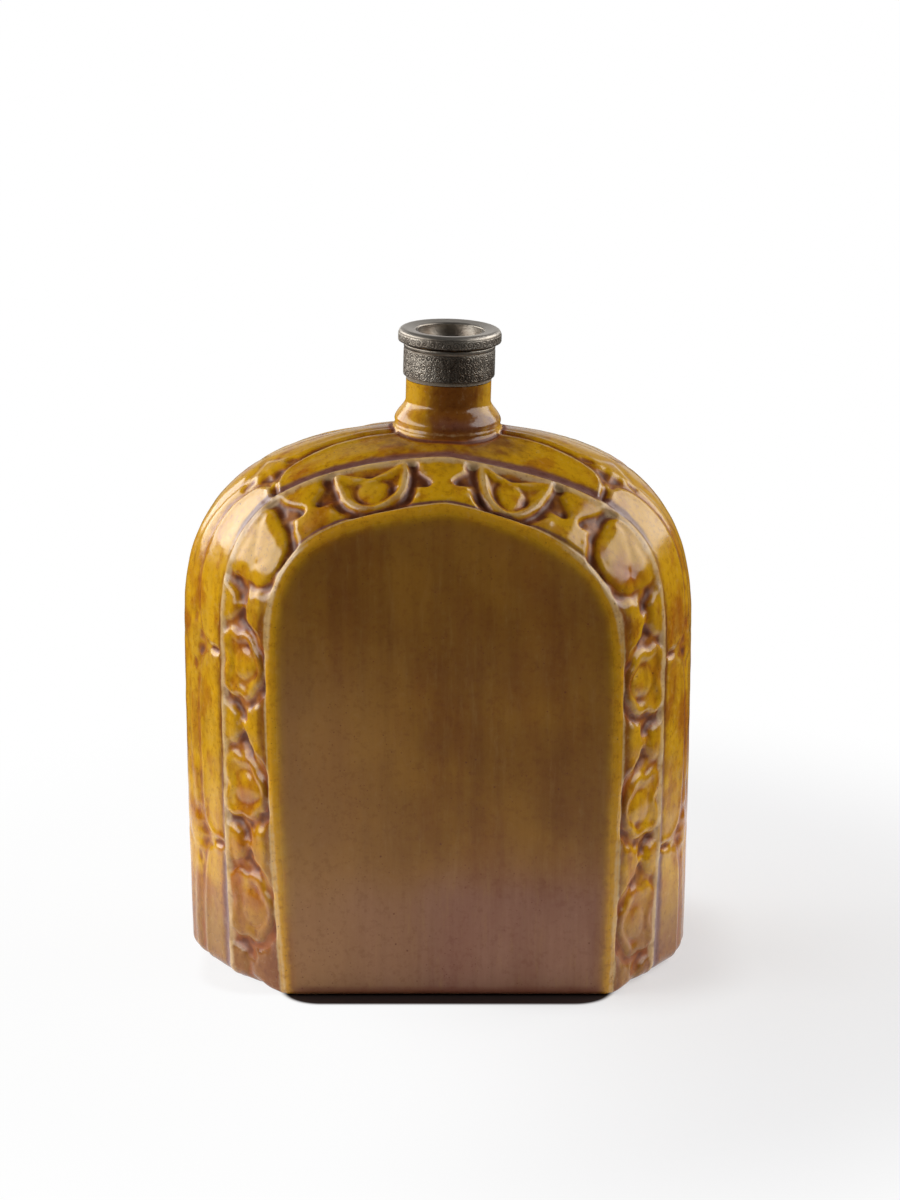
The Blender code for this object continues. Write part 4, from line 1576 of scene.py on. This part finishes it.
    def inner_wall(self) -> Array:
        """Lay out the inner wall.

        Returns:
            Its points, in the skin's rows and columns.
        """
        walls = []
        for hand in Hand:
            points = self.side_skin(hand)["points"]
            wall = points - self.normals(points, hand) * self.wall
            wall[:, 0, 1] = -self.seam_gap
            walls.append(wall)
        whole = self.join_sides(*walls)
        whole[0, :, 2] = 0.0
        return whole

    @staticmethod
    def quads(grid: Array) -> list[list[int]]:
        """Faces between the neighbours of a grid."""
        corners = np.stack([grid[:-1, :-1], grid[:-1, 1:], grid[1:, 1:], grid[1:, :-1]], -1)
        return corners.reshape(-1, 4).tolist()

    @staticmethod
    def joint_faces(outer: Array, inner: Array) -> list[list[int]]:
        """Close the shell between its skin and its inner wall.

        Args:
            outer: The skin's points by row and column.
            inner: The inner wall's.

        Returns:
            The flat faces at the foot and along the seam.
        """
        foot = list(outer[0, ::-1]) + list(inner[0])
        left = list(outer[:, 0]) + list(inner[::-1, 0])
        right = list(outer[::-1, -1]) + list(inner[:, -1])
        return [[int(i) for i in ring] for ring in (foot, left, right)]

    def cut_hole(self, obj: bpy.types.Object) -> None:
        """Cut the hole for the neck's spigot.

        Args:
            obj: The closed shell.
        """
        deselect()
        bpy.ops.mesh.primitive_cylinder_add(
            vertices=self.hole_sides, radius=self.hole_radius, depth=self.punch_length,
            location=self.seat.place.translation, rotation=(0, self.seat.lean, 0))
        punch = bpy.context.active_object
        only(obj)
        cutter = obj.modifiers.new("neck_hole", "BOOLEAN")
        cutter.object = punch
        cutter.operation = "DIFFERENCE"
        cutter.solver = "FAST"
        bpy.ops.object.modifier_apply(modifier=cutter.name)
        bpy.data.objects.remove(punch, do_unlink=True)

    def dress(self, obj: bpy.types.Object, glaze: bpy.types.Material) -> None:
        """Glaze the shell and let it stand for its node."""
        finish_piece(obj, glaze, radians(70), self.name)


@dataclass
class Lathe:
    """Turns profiles, as by hand, and stands them on the neck's leaning axis."""

    seat: NeckSeat = NeckSeat()

    def turn(self, name: str, profile: list[Point], steps: int) -> bpy.types.Object:
        """Turn a closed profile into a ring-shaped piece.

        Args:
            name: The piece's name.
            profile: Its (radius, height) points, of which the last joins the first.
            steps: How many steps the turn takes.

        Returns:
            The piece, upright at the origin.
        """
        deselect()
        radius, height = profile[0]
        bpy.ops.mesh.primitive_plane_add(size=MILLIMETRE, location=(0, 0, 0))
        obj = bpy.context.active_object
        obj.name = name
        obj.data.name = name
        bpy.ops.object.mode_set(mode="EDIT")
        bpy.ops.mesh.select_all(action="SELECT")
        bpy.ops.mesh.merge(type="CENTER")
        bpy.ops.transform.translate(value=(radius, 0, height))
        for (r0, z0), (r1, z1) in zip(profile, profile[1:] + profile[:1]):
            bpy.ops.mesh.extrude_vertices_move(
                TRANSFORM_OT_translate={"value": (r1 - r0, 0, z1 - z0)})
        merge_doubles()
        bpy.ops.mesh.spin(steps=steps, angle=2 * pi, center=(0, 0, 0), axis=(0, 0, 1))
        merge_doubles()
        bpy.ops.mesh.normals_make_consistent(inside=False)
        bpy.ops.object.mode_set(mode="OBJECT")
        return obj

    def stand(self, obj: bpy.types.Object) -> None:
        """Move a turned piece to the neck."""
        obj.data.transform(self.seat.place)


def arc(centre: Point, size: float, start: float, end: float, steps: int) -> list[Point]:
    """Points of an arc in a profile, from one turn to another."""
    turns = np.linspace(start, end, steps + 1)
    return [(centre[0] + size * cos(t), centre[1] + size * sin(t)) for t in turns]


def line(first: Point, last: Point, steps: int) -> list[Point]:
    """Even points between two in a profile, without the last."""
    shares = np.arange(steps) / steps
    return [tuple(np.array(first) + (np.array(last) - np.array(first)) * s) for s in shares]


@dataclass
class Neck:
    """The turned neck: a beaded, flared foot that its glaze seals to the shoulder."""

    lathe: Lathe
    radius: float = 0.0176
    bead: float = 0.0016
    swell_top: float = 0.0120
    groove: float = 0.0004
    skirt: float = 0.0060
    fillet: float = 0.0016
    step: float = 0.0205
    step_radius: float = 0.0166
    top: float = 0.0343
    bore: float = 0.0111
    bore_mouth: float = 0.0118
    bore_taper: float = 0.003
    spigot: float = 0.0155
    spigot_bottom: float = -0.0120
    swell_start: float = 0.0008
    swell_power: float = 1.35
    groove_place: float = 0.0010
    groove_width: float = 0.0010
    sink: float = 0.0002
    steps: int = 128

    @property
    def foot(self) -> float:
        """The foot's radius."""
        return self.lathe.seat.foot

    def profile(self) -> list[Point]:
        """Draw the neck's section, from the spigot up the outside and down the bore.

        Returns:
            The section's points.
        """
        return (
            [(self.spigot, self.spigot_bottom), (self.spigot, -self.skirt)]
            + [(self.foot, -self.skirt)]
            + line((self.foot, -self.skirt + 0.0008), (self.foot, self.bead), 10)
            + self.swell()
            + line((self.radius, self.swell_top + 0.0006), (self.radius, self.step), 8)
            + [(self.radius, self.step), (self.step_radius, self.step)]
            + [(self.step_radius, self.top), (self.bore_mouth, self.top)]
            + [(self.bore, self.top - self.bore_taper), (self.bore, self.spigot_bottom)])

    def swell(self) -> list[Point]:
        """Shape the foot over its skirt: a low groove, then a swell that runs into the tube.

        Returns:
            The profile's points, from the skirt up.
        """
        heights = np.linspace(self.bead, self.swell_top, 27)[1:]
        start = self.bead + self.swell_start
        share = eased((heights - start) / (self.swell_top - start)) ** self.swell_power
        reach = self.foot - (self.foot - self.radius) * share
        reach -= self.groove * bump(heights - self.bead - self.groove_place, self.groove_width)
        return [(float(out), float(height)) for out, height in zip(reach, heights)]

    def build(self, shells: list[bpy.types.Object]) -> bpy.types.Object:
        """Turn the neck and draw its foot down to the shoulder.

        Args:
            shells: The halves that the foot stands on.

        Returns:
            The neck.
        """
        obj = self.lathe.turn("neck_turned", self.profile(), self.steps)
        points = read_points(obj)
        radius = np.hypot(points[:, 0], points[:, 1])
        skirt = (radius > self.foot - 0.0001) & (points[:, 2] < self.bead)
        trees = [BVHTree.FromObject(s, bpy.context.evaluated_depsgraph_get()) for s in shells]
        inverse = self.lathe.seat.place.inverted()
        for index in np.nonzero(skirt)[0]:
            x, y, z = points[index]
            share = (self.bead - z) / (self.bead + self.skirt)
            spread = self.foot + self.fillet * max(share, 0) ** 3
            scale = spread / radius[index]
            bottom = self.floor(trees, inverse, x * scale, y * scale) - self.sink
            points[index] = (x * scale, y * scale, self.bead + (bottom - self.bead) * share)
        write_points(obj, points)
        self.lathe.stand(obj)
        return obj

    def floor(self, trees: list[BVHTree], inverse: Matrix, x: float, y: float) -> float:
        """Find the shoulder under a point.

        Args:
            trees: The halves, ready for rays.
            inverse: What turns a place in the scene into one on the neck's axis.
            x: The point's place on that axis.
            y: Its other place there.

        Returns:
            The shoulder's height on the neck's axis, or the skirt's where there is none.
        """
        place = self.lathe.seat.place
        start = place @ Vector((x, y, 0.02))
        down = -(place.to_3x3() @ Vector((0, 0, 1)))
        heights = []
        for tree in trees:
            found = tree.ray_cast(start, down)[0]
            if found is not None:
                heights.append((inverse @ found).z)
        return max(heights) if heights else -self.skirt

    def dress(self, obj: bpy.types.Object, glaze: bpy.types.Material) -> None:
        """Glaze the neck, with the glaze pooled round its foot, and shade painted over its front.

        Args:
            obj: The neck, on its shoulder.
            glaze: Its material.
        """
        back = self.lathe.seat.place.inverted()
        own = np.array([back @ v.co for v in obj.data.vertices])
        radius = np.hypot(own[:, 0], own[:, 1])
        pooled = eased((radius - self.foot - 0.0001) / 0.0010) * (own[:, 2] < self.bead)
        under = eased((0.0006 - own[:, 2]) / 0.0030) * (radius > self.foot - 0.0003)
        write_mark(obj, "hollow", np.maximum(pooled, under * 0.9))
        crest = bump(own[:, 2] - self.bead, 0.0009) * (radius > self.foot - 0.0009) * 0.5
        write_mark(obj, "crest", crest)
        turn = np.arctan2(own[:, 0], -own[:, 1])
        # Painted shade: the neck's front and front-right, which the side lamps leave dim, are
        # darkened through this mark.
        thick = eased((turn + 1.0) / 0.9) * (1 - 0.8 * eased((turn - 0.4) / 1.0))
        write_mark(obj, "thick", thick)
        flare = bump(own[:, 2] - self.bead - 0.0036, 0.0044) * eased((turn + 1.2) / 1.2) * 0.42
        write_mark(obj, "channel", flare * (turn < 2.2))
        for name in ("panel", "rim", "low"):
            write_mark(obj, name, np.zeros(len(own)))
        finish_piece(obj, glaze, radians(50), "neck")


@dataclass
class Mount:
    """The engraved metal mount: sleeve, lip and throat."""

    lathe: Lathe
    sleeve_bottom: float = 0.0208
    sleeve_top: float = 0.0356
    sleeve_radius: float = 0.0189
    sleeve_metal: float = 0.0009
    sleeve_round: float = 0.0005
    sleeve_frieze: Point = (0.0016, 0.0022)
    sleeve_steps: int = 540
    bead: float = 0.0003
    bead_height: float = 0.0009
    frieze_foot: float = 0.0013
    frieze_edge: float = 0.0003
    fillet: float = 0.00018
    lip_bottom: float = 0.0359
    lip_top: float = 0.04186
    lip_radius: float = 0.0213
    lip_edge: float = 0.0025
    lip_hem: float = 0.0012
    lip_frieze: Point = (0.0006, 0.0016)
    lip_steps: int = 480
    dish: float = 0.0006
    mouth: float = 0.0140
    mouth_round: float = 0.0010
    throat: float = 0.0108
    throat_metal: float = 0.0007
    throat_bottom: float = 0.0045
    throat_drop: float = 0.0012
    throat_steps: int = 96
    engraving: float = 0.00018
    engraved_skin: float = 0.0008

    def sleeve(self) -> bpy.types.Object:
        """Make the band round the neck, engraved with arches and scrolls.

        Returns:
            The band, standing on the neck.
        """
        radius, inner = self.sleeve_radius, self.sleeve_radius - self.sleeve_metal
        low, high = self.sleeve_bottom, self.sleeve_top
        start, end = low + self.sleeve_frieze[0], high - self.sleeve_frieze[1]
        corner = (radius - self.sleeve_round, high - self.sleeve_round)
        outside = (
            [(radius + 0.0001, low), (radius + self.bead, low + self.bead)]
            + [(radius + self.bead, low + self.bead_height)]
            + line((radius, low + self.frieze_foot), (radius, end), 64)
            + [(radius, end), (radius - self.fillet, high - 0.0019)]
            + [(radius - 0.00005, high - 0.0015)]
            + arc(corner, self.sleeve_round, 0, pi / 2, 6))
        profile = [(inner, low)] + outside + [(inner, high)]
        obj = self.lathe.turn("sleeve_engraved", profile, self.sleeve_steps)
        return self.engrave(obj, start, end, radius)

    def engrave(
        self, obj: bpy.types.Object, low: float, high: float, radius: float
    ) -> bpy.types.Object:
        """Cut the engraving into a turned piece.

        Args:
            obj: The piece, upright at the origin.
            low: Where the frieze starts.
            high: Where it ends.
            radius: The radius that the lines are drawn at.

        Returns:
            The piece, standing on the neck, with its marks.
        """
        points = read_points(obj)
        reach = np.hypot(points[:, 0], points[:, 1])
        turn = np.arctan2(points[:, 1], points[:, 0])
        outer = reach > radius - self.engraved_skin
        along = turn * radius / MILLIMETRE
        up = (points[:, 2] - low) / MILLIMETRE
        height = (high - low) / MILLIMETRE
        cut = Frieze(height, 2 * pi * radius / MILLIMETRE).lines(along, up)
        above, below, edge = points[:, 2] - low, high - points[:, 2], self.frieze_edge
        cut = cut * outer * eased(above / edge) * eased(below / edge)
        rim = bump(above, edge) + bump(below, edge)
        cut = np.maximum(cut, rim * outer * 0.8)
        scale = 1 - cut * self.engraving / reach
        points[:, :2] *= scale[:, None]
        write_points(obj, points)
        write_mark(obj, "hollow", cut)
        # The lip's top counts as a full crest, which paints it palest: rubbed metal, and a painted
        # reflection.
        crown = eased((points[:, 2] - self.lip_top + 0.0014) / 0.0006)
        write_mark(obj, "crest", np.maximum((1 - cut) * outer * 0.5, crown))
        self.lathe.stand(obj)
        return obj

    def lip(self) -> bpy.types.Object:
        """Make the rounded lip, with its broad, slightly dished top.

        Returns:
            The lip, standing on the sleeve.
        """
        edge, over = self.lip_edge, self.sleeve_radius + 0.00015
        low, high = self.lip_bottom, self.lip_top
        hem = low - self.lip_hem
        reach = self.lip_radius - over - 0.0002
        under = [
            (over + 0.0002 + reach * sin(turn), low + 0.0014 - (0.0014 + self.lip_hem) * cos(turn))
            for turn in np.linspace(0, pi / 2, 14)]
        outer_top = (self.lip_radius - edge - 0.0006, high - 0.0001)
        inner_top = (self.mouth + self.mouth_round, high - self.dish)
        round_centre = (inner_top[0], inner_top[1] - self.mouth_round)
        profile = (
            [(self.mouth, low), (over, low), (over, hem + 0.0002)] + under
            + line((self.lip_radius, low + 0.0016), (self.lip_radius, high - edge), 8)
            + arc((self.lip_radius - edge, high - edge), edge, 0, pi / 2, 14)
            + line(outer_top, inner_top, 8)
            + arc(round_centre, self.mouth_round, pi / 2, pi, 6))
        obj = self.lathe.turn("lip_engraved", profile, self.lip_steps)
        start, end = low + self.lip_frieze[0], high - self.lip_frieze[1]
        return self.engrave(obj, start, end, self.lip_radius)

    def throat_liner(self) -> bpy.types.Object:
        """Make the throat that funnels down inside the neck.

        Returns:
            The throat, standing in the neck.
        """
        top = self.lip_top - self.throat_drop
        outside = [
            (self.throat, self.throat_bottom), (self.throat, self.lip_bottom - 0.005),
            (self.throat + 0.0009, self.lip_bottom - 0.0035), (self.mouth - 0.0012, self.lip_bottom),
            (self.mouth - 0.0002, self.lip_bottom + 0.0022), (self.mouth - 0.0001, top)]
        inside = [(radius - self.throat_metal, height) for radius, height in reversed(outside)]
        obj = self.lathe.turn("throat_liner", outside + inside, self.throat_steps)
        for mark in ("hollow", "crest"):
            write_mark(obj, mark, np.zeros(len(obj.data.vertices)))
        self.lathe.stand(obj)
        return obj

    def dress(
        self, sleeve: bpy.types.Object, lip: bpy.types.Object, throat: bpy.types.Object,
        metal: bpy.types.Material,
    ) -> None:
        """Tarnish the mount's three pieces.

        Args:
            sleeve: The band.
            lip: The lip.
            throat: The liner.
            metal: Their material.
        """
        for obj, node in (
                (sleeve, "mount_sleeve"), (lip, "mount_lip"), (throat, "mount_liner")):
            finish_piece(obj, metal, radians(40), node)


@dataclass(frozen=True)
class Frieze:
    """Fine engraving: scattered scrolls and tendrils over faint pointed arches."""

    height: float
    length: float
    pitch: float = 8.5
    cell: float = 3.3
    gap: float = 0.95
    line_width: float = 0.24
    seed: int = 31

    def lines(self, along: Array, up: Array) -> Array:
        """Draw the frieze.

        Args:
            along: Places round the piece, in millimetres.
            up: Heights above the frieze's lower edge.

        Returns:
            How deep the lines are cut, from 0 to 1.
        """
        return np.clip(np.maximum(self.arches(along, up) * 0.6, self.scrolls(along, up)), 0, 1)

    def arches(self, along: Array, up: Array) -> Array:
        """Draw pointed arches, side by side.

        Args:
            along: Places round the piece, in millimetres.
            up: Heights above the frieze's lower edge.

        Returns:
            How deep the arches' lines are cut.
        """
        count = max(round(self.length / self.pitch), 1)
        pitch = self.length / count
        x = (along + 0.5 * pitch) % pitch - 0.5 * pitch
        half = pitch * 0.44 * np.sqrt(np.clip(1 - (up / self.height) ** 1.7, 0, 1))
        return bump(np.abs(np.abs(x) - half), self.line_width * 1.3)

    def scrolls(self, along: Array, up: Array) -> Array:
        """Draw a scroll in each cell, of its own size, place and hand, and waves between them.

        Args:
            along: Places round the piece, in millimetres.
            up: Heights above the frieze's lower edge.

        Returns:
            How deep the scrolls and waves are cut.
        """
        chance = np.random.default_rng(self.seed)
        count = max(round(self.length / self.cell), 1)
        rows = max(round(self.height / self.cell), 1)
        step, rise = self.length / count, self.height / rows
        column = np.floor(along / step)
        row = np.clip(np.floor(up / rise), 0, rows - 1)
        cell = (row.astype(int), column.astype(int) % count)
        shift = chance.uniform(-0.45, 0.45, (2, rows, count))
        size = chance.uniform(1.1, 1.9, (rows, count))[cell]
        hand = chance.choice([-1.0, 1.0], (rows, count))[cell]
        phase = chance.uniform(0, 1, (rows, count))[cell]
        x = along - (column + 0.5) * step - shift[0][cell]
        y = up - (row + 0.5) * rise - shift[1][cell]
        radius = np.hypot(x, y)
        winding = (radius / self.gap - hand * np.arctan2(y, x) / (2 * pi) + phase) % 1.0
        scroll = bump(np.minimum(winding, 1 - winding) * self.gap, self.line_width)
        waves = 0.5 + 0.5 * np.sin(along * 5.2 + 2.2 * np.sin(up * 1.9 + phase * 6) + up * 2.4)
        return np.where(radius < size, scroll, waves ** 3 * 0.75)


@dataclass
class Inside:
    """The slab and the rolls of clay inside, which keep their CAD shapes."""

    clay_nodes: tuple[str, ...] = (
        "base_slab", "base_coil", "seam_coil_left", "seam_coil_right", "neck_coil")
    bedding_node: str = "neck_cement"

    def dress(
        self, nodes: dict[str, bpy.types.Object], clay: bpy.types.Material,
        bedding: bpy.types.Material,
    ) -> None:
        """Give the hidden pieces their finishes.

        Args:
            nodes: The frame's CAD objects.
            clay: Bare clay.
            bedding: The mount's bedding.
        """
        for name in self.clay_nodes + (self.bedding_node,):
            coat(nodes[name], bedding if name == self.bedding_node else clay)
            LOG.info("%s keeps its CAD shape", name)


@dataclass(frozen=True)
class SoftLamp:
    """A rectangular soft light, hung round the flask by its direction from the camera's side."""

    name: str
    turn: float
    rise: float
    distance: float
    width: float
    height: float
    radiance: float
    aim: tuple[float, float, float] = (0.0, 0.0, 0.13)

    def hang(self) -> None:
        """Hang the light and aim it at the flask."""
        data = bpy.data.lights.new(self.name, "AREA")
        data.shape = "RECTANGLE"
        data.size = self.width
        data.size_y = self.height
        data.energy = self.radiance * pi * self.width * self.height
        turn, rise = radians(self.turn), radians(self.rise)
        away = Vector((sin(turn) * cos(rise), -cos(turn) * cos(rise), sin(rise)))
        lamp = bpy.data.objects.new(self.name, data)
        lamp.location = Vector(self.aim) + away * self.distance
        lamp.rotation_euler = (-away).to_track_quat("-Z", "Y").to_euler()
        bpy.context.scene.collection.objects.link(lamp)


@dataclass
class Studio:
    """The white table, the soft lamps and the camera."""

    focal_pixels: float = 3900.0
    picture_height: float = 1200.0
    pitch: float = radians(15.3)
    distance: float = 1.632
    target: tuple[float, float, float] = (0.00505, 0.0, 0.1535)
    table: Colour = paint(250, 250, 252)
    # The colour of the shadow painted on the table along the panels' foot.
    gap: Colour = paint(50, 40, 38)
    sensor: float = 36.0
    foot_middle: float = 0.004
    foot_half: Point = (0.078, 0.033)
    painted_shadow_half: Point = (0.052, 0.0535)
    painted_shadow_start: float = 0.0148
    painted_shadow_end: float = 0.0180
    shadow_start: float = 0.022
    table_size: float = 12.0
    table_reach: float = 0.36
    room: float = 0.04
    lamps: tuple[SoftLamp, ...] = (
        SoftLamp("wide_left", -95, 20, 1.3, 2.5, 0.7, 4.8),
        SoftLamp("tall_right", 98, 29, 1.3, 1.7, 0.9, 3.4),
    )

    def camera(self) -> None:
        """Set the camera at the photograph's place."""
        data = bpy.data.cameras.new("camera")
        data.sensor_fit = "VERTICAL"
        data.sensor_height = self.sensor
        data.sensor_width = self.sensor
        data.lens = self.focal_pixels * self.sensor / self.picture_height
        data.clip_start = 0.05
        data.clip_end = 50.0
        camera = bpy.data.objects.new("camera", data)
        x, y, z = self.target
        camera.location = (
            x, y - self.distance * cos(self.pitch), z + self.distance * sin(self.pitch))
        camera.rotation_euler = (pi / 2 - self.pitch, 0, 0)
        bpy.context.scene.collection.objects.link(camera)
        bpy.context.scene.camera = camera

    def surroundings(self) -> None:
        """White behind the flask, for the camera and for its reflections, and a dim room."""
        world = bpy.data.worlds.new("studio")
        bpy.context.scene.world = world
        world.use_nodes = True
        bench = Bench(world.node_tree)
        direction = bench.node("ShaderNodeTexCoord", output="Generated")
        back = bench.part(direction, "Y")
        seen = bench.maths(
            "MAXIMUM", bench.ray("Is Glossy Ray"), bench.ray("Is Transmission Ray"))
        behind = (bench.ease(back, 0.62, 0.92) * 0.4 + bench.ease(back, 0.90, 0.96) * 0.6) * seen
        level = bench.maths("MAXIMUM", bench.maths("MAXIMUM", behind, self.room),
                            bench.ray("Is Camera Ray"))
        light = bench.node("ShaderNodeBackground", sockets={"Strength": level})
        bench.lead_out(light, "ShaderNodeOutputWorld")

    def floor(self) -> None:
        """Lay the white table top, which fades into the background, with a shadow painted along the
        panels' foot.
        """
        deselect()
        bpy.ops.mesh.primitive_grid_add(
            x_subdivisions=24, y_subdivisions=24, size=self.table_size, location=(0, 0, 0))
        obj = bpy.context.active_object
        obj.name = "table_top"
        material, bench = new_bench("white_table")
        own = bench.node("ShaderNodeTexCoord", output="Object")
        away = bench.node("ShaderNodeVectorMath", {"operation": "LENGTH"}, {0: own}, "Value")
        camera = bench.ray("Is Camera Ray")
        # Along the panels' foot the table's colour darkens to a painted shadow, and its glow is cut
        # there.
        lit = bench.node("ShaderNodeBsdfPrincipled", sockets={
            "Base Color": bench.blend(self.painted_gap_shadow(bench, own), self.table, self.gap),
            "Roughness": 0.55, "Specular IOR Level": 0.2})
        white = bench.node("ShaderNodeEmission", sockets={"Strength": 1.0})
        # Painted light: near the flask the table glows white to the camera and to reflections,
        # paling its real shadow, more on the left than on the right.
        side = bench.part(own, "X")
        share = 0.94 - bench.ease(side, -0.06, 0.15) * 0.38
        seen = bench.maths("MAXIMUM", camera, bench.ray("Is Glossy Ray"))
        seen = seen * (1 - self.painted_gap_shadow(bench, own))
        least = 0.88 - bench.ease(side, -0.06, 0.08) * 0.2
        near = (least + (1 - least) * self.beyond_foot(bench, own)) * share * seen
        table = bench.node("ShaderNodeMixShader", sockets={0: near, 1: lit, 2: white})
        level = bench.maths("MAXIMUM", camera, self.room)
        rest = bench.node("ShaderNodeEmission", sockets={"Strength": level})
        edge = bench.ease(away, self.table_reach * 0.6, self.table_reach * 1.05)
        bench.lead_out(bench.node("ShaderNodeMixShader", sockets={0: edge, 1: table, 2: rest}))
        coat(obj, material)

    def clear_of(self, bench: Bench, own: Wire, half: Point) -> Wire:
        """Measure how far the table's points lie from a rectangle under the flask.

        Args:
            bench: The material's bench.
            own: The points.
            half: Half the rectangle's width and half its depth.

        Returns:
            The distance.
        """
        places = (bench.part(own, "X") - self.foot_middle, bench.part(own, "Y"))
        over, out = (
            bench.maths("MAXIMUM", bench.maths("ABSOLUTE", place) - size, 0.0)
            for place, size in zip(places, half))
        return (over * over + out * out) ** 0.5

    def beyond_foot(self, bench: Bench, own: Wire) -> Wire:
        """Tell how far the table has left the flask's shadow.

        Args:
            bench: The material's bench.
            own: The table's points.

        Returns:
            0 near the foot, easing to 1 beyond it, farther out on the right.
        """
        fade = 0.007 + bench.ease(bench.part(own, "X"), -0.06, 0.08) * 0.027
        clear = self.clear_of(bench, own, self.foot_half) - self.shadow_start
        return bench.ease(clear / fade, 0.0, 1.0)

    def painted_gap_shadow(self, bench: Bench, own: Wire) -> Wire:
        """A shadow painted on the table in the narrow gap along the foot of the panels, from 0 to 1.
        """
        clear = self.clear_of(bench, own, self.painted_shadow_half)
        return 1 - bench.ease(clear, self.painted_shadow_start, self.painted_shadow_end)

    def set_up(self) -> None:
        """Set up the whole studio."""
        self.camera()
        self.surroundings()
        self.floor()
        for lamp in self.lamps:
            lamp.hang()
        bpy.context.scene.view_settings.view_transform = "Standard"


def main() -> None:
    """Build and dress the flask on its frame, and set up the studio."""
    logging.basicConfig(level=logging.INFO)
    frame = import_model()
    Studio().set_up()
    glaze = GlazeFinish().make()
    lathe = Lathe()
    shells = []
    for facing in Facing:
        half = ShellHalf(facing, lathe.seat)
        obj = half.build()
        half.dress(obj, glaze)
        shells.append(obj)
    neck = Neck(lathe)
    neck.dress(neck.build(shells), glaze)
    mount = Mount(lathe)
    mount.dress(mount.sleeve(), mount.lip(), mount.throat_liner(), MetalFinish().make())
    Inside().dress(frame["nodes"], ClayFinish().make(), BeddingFinish().make())


if __name__ == "__main__":
    main()
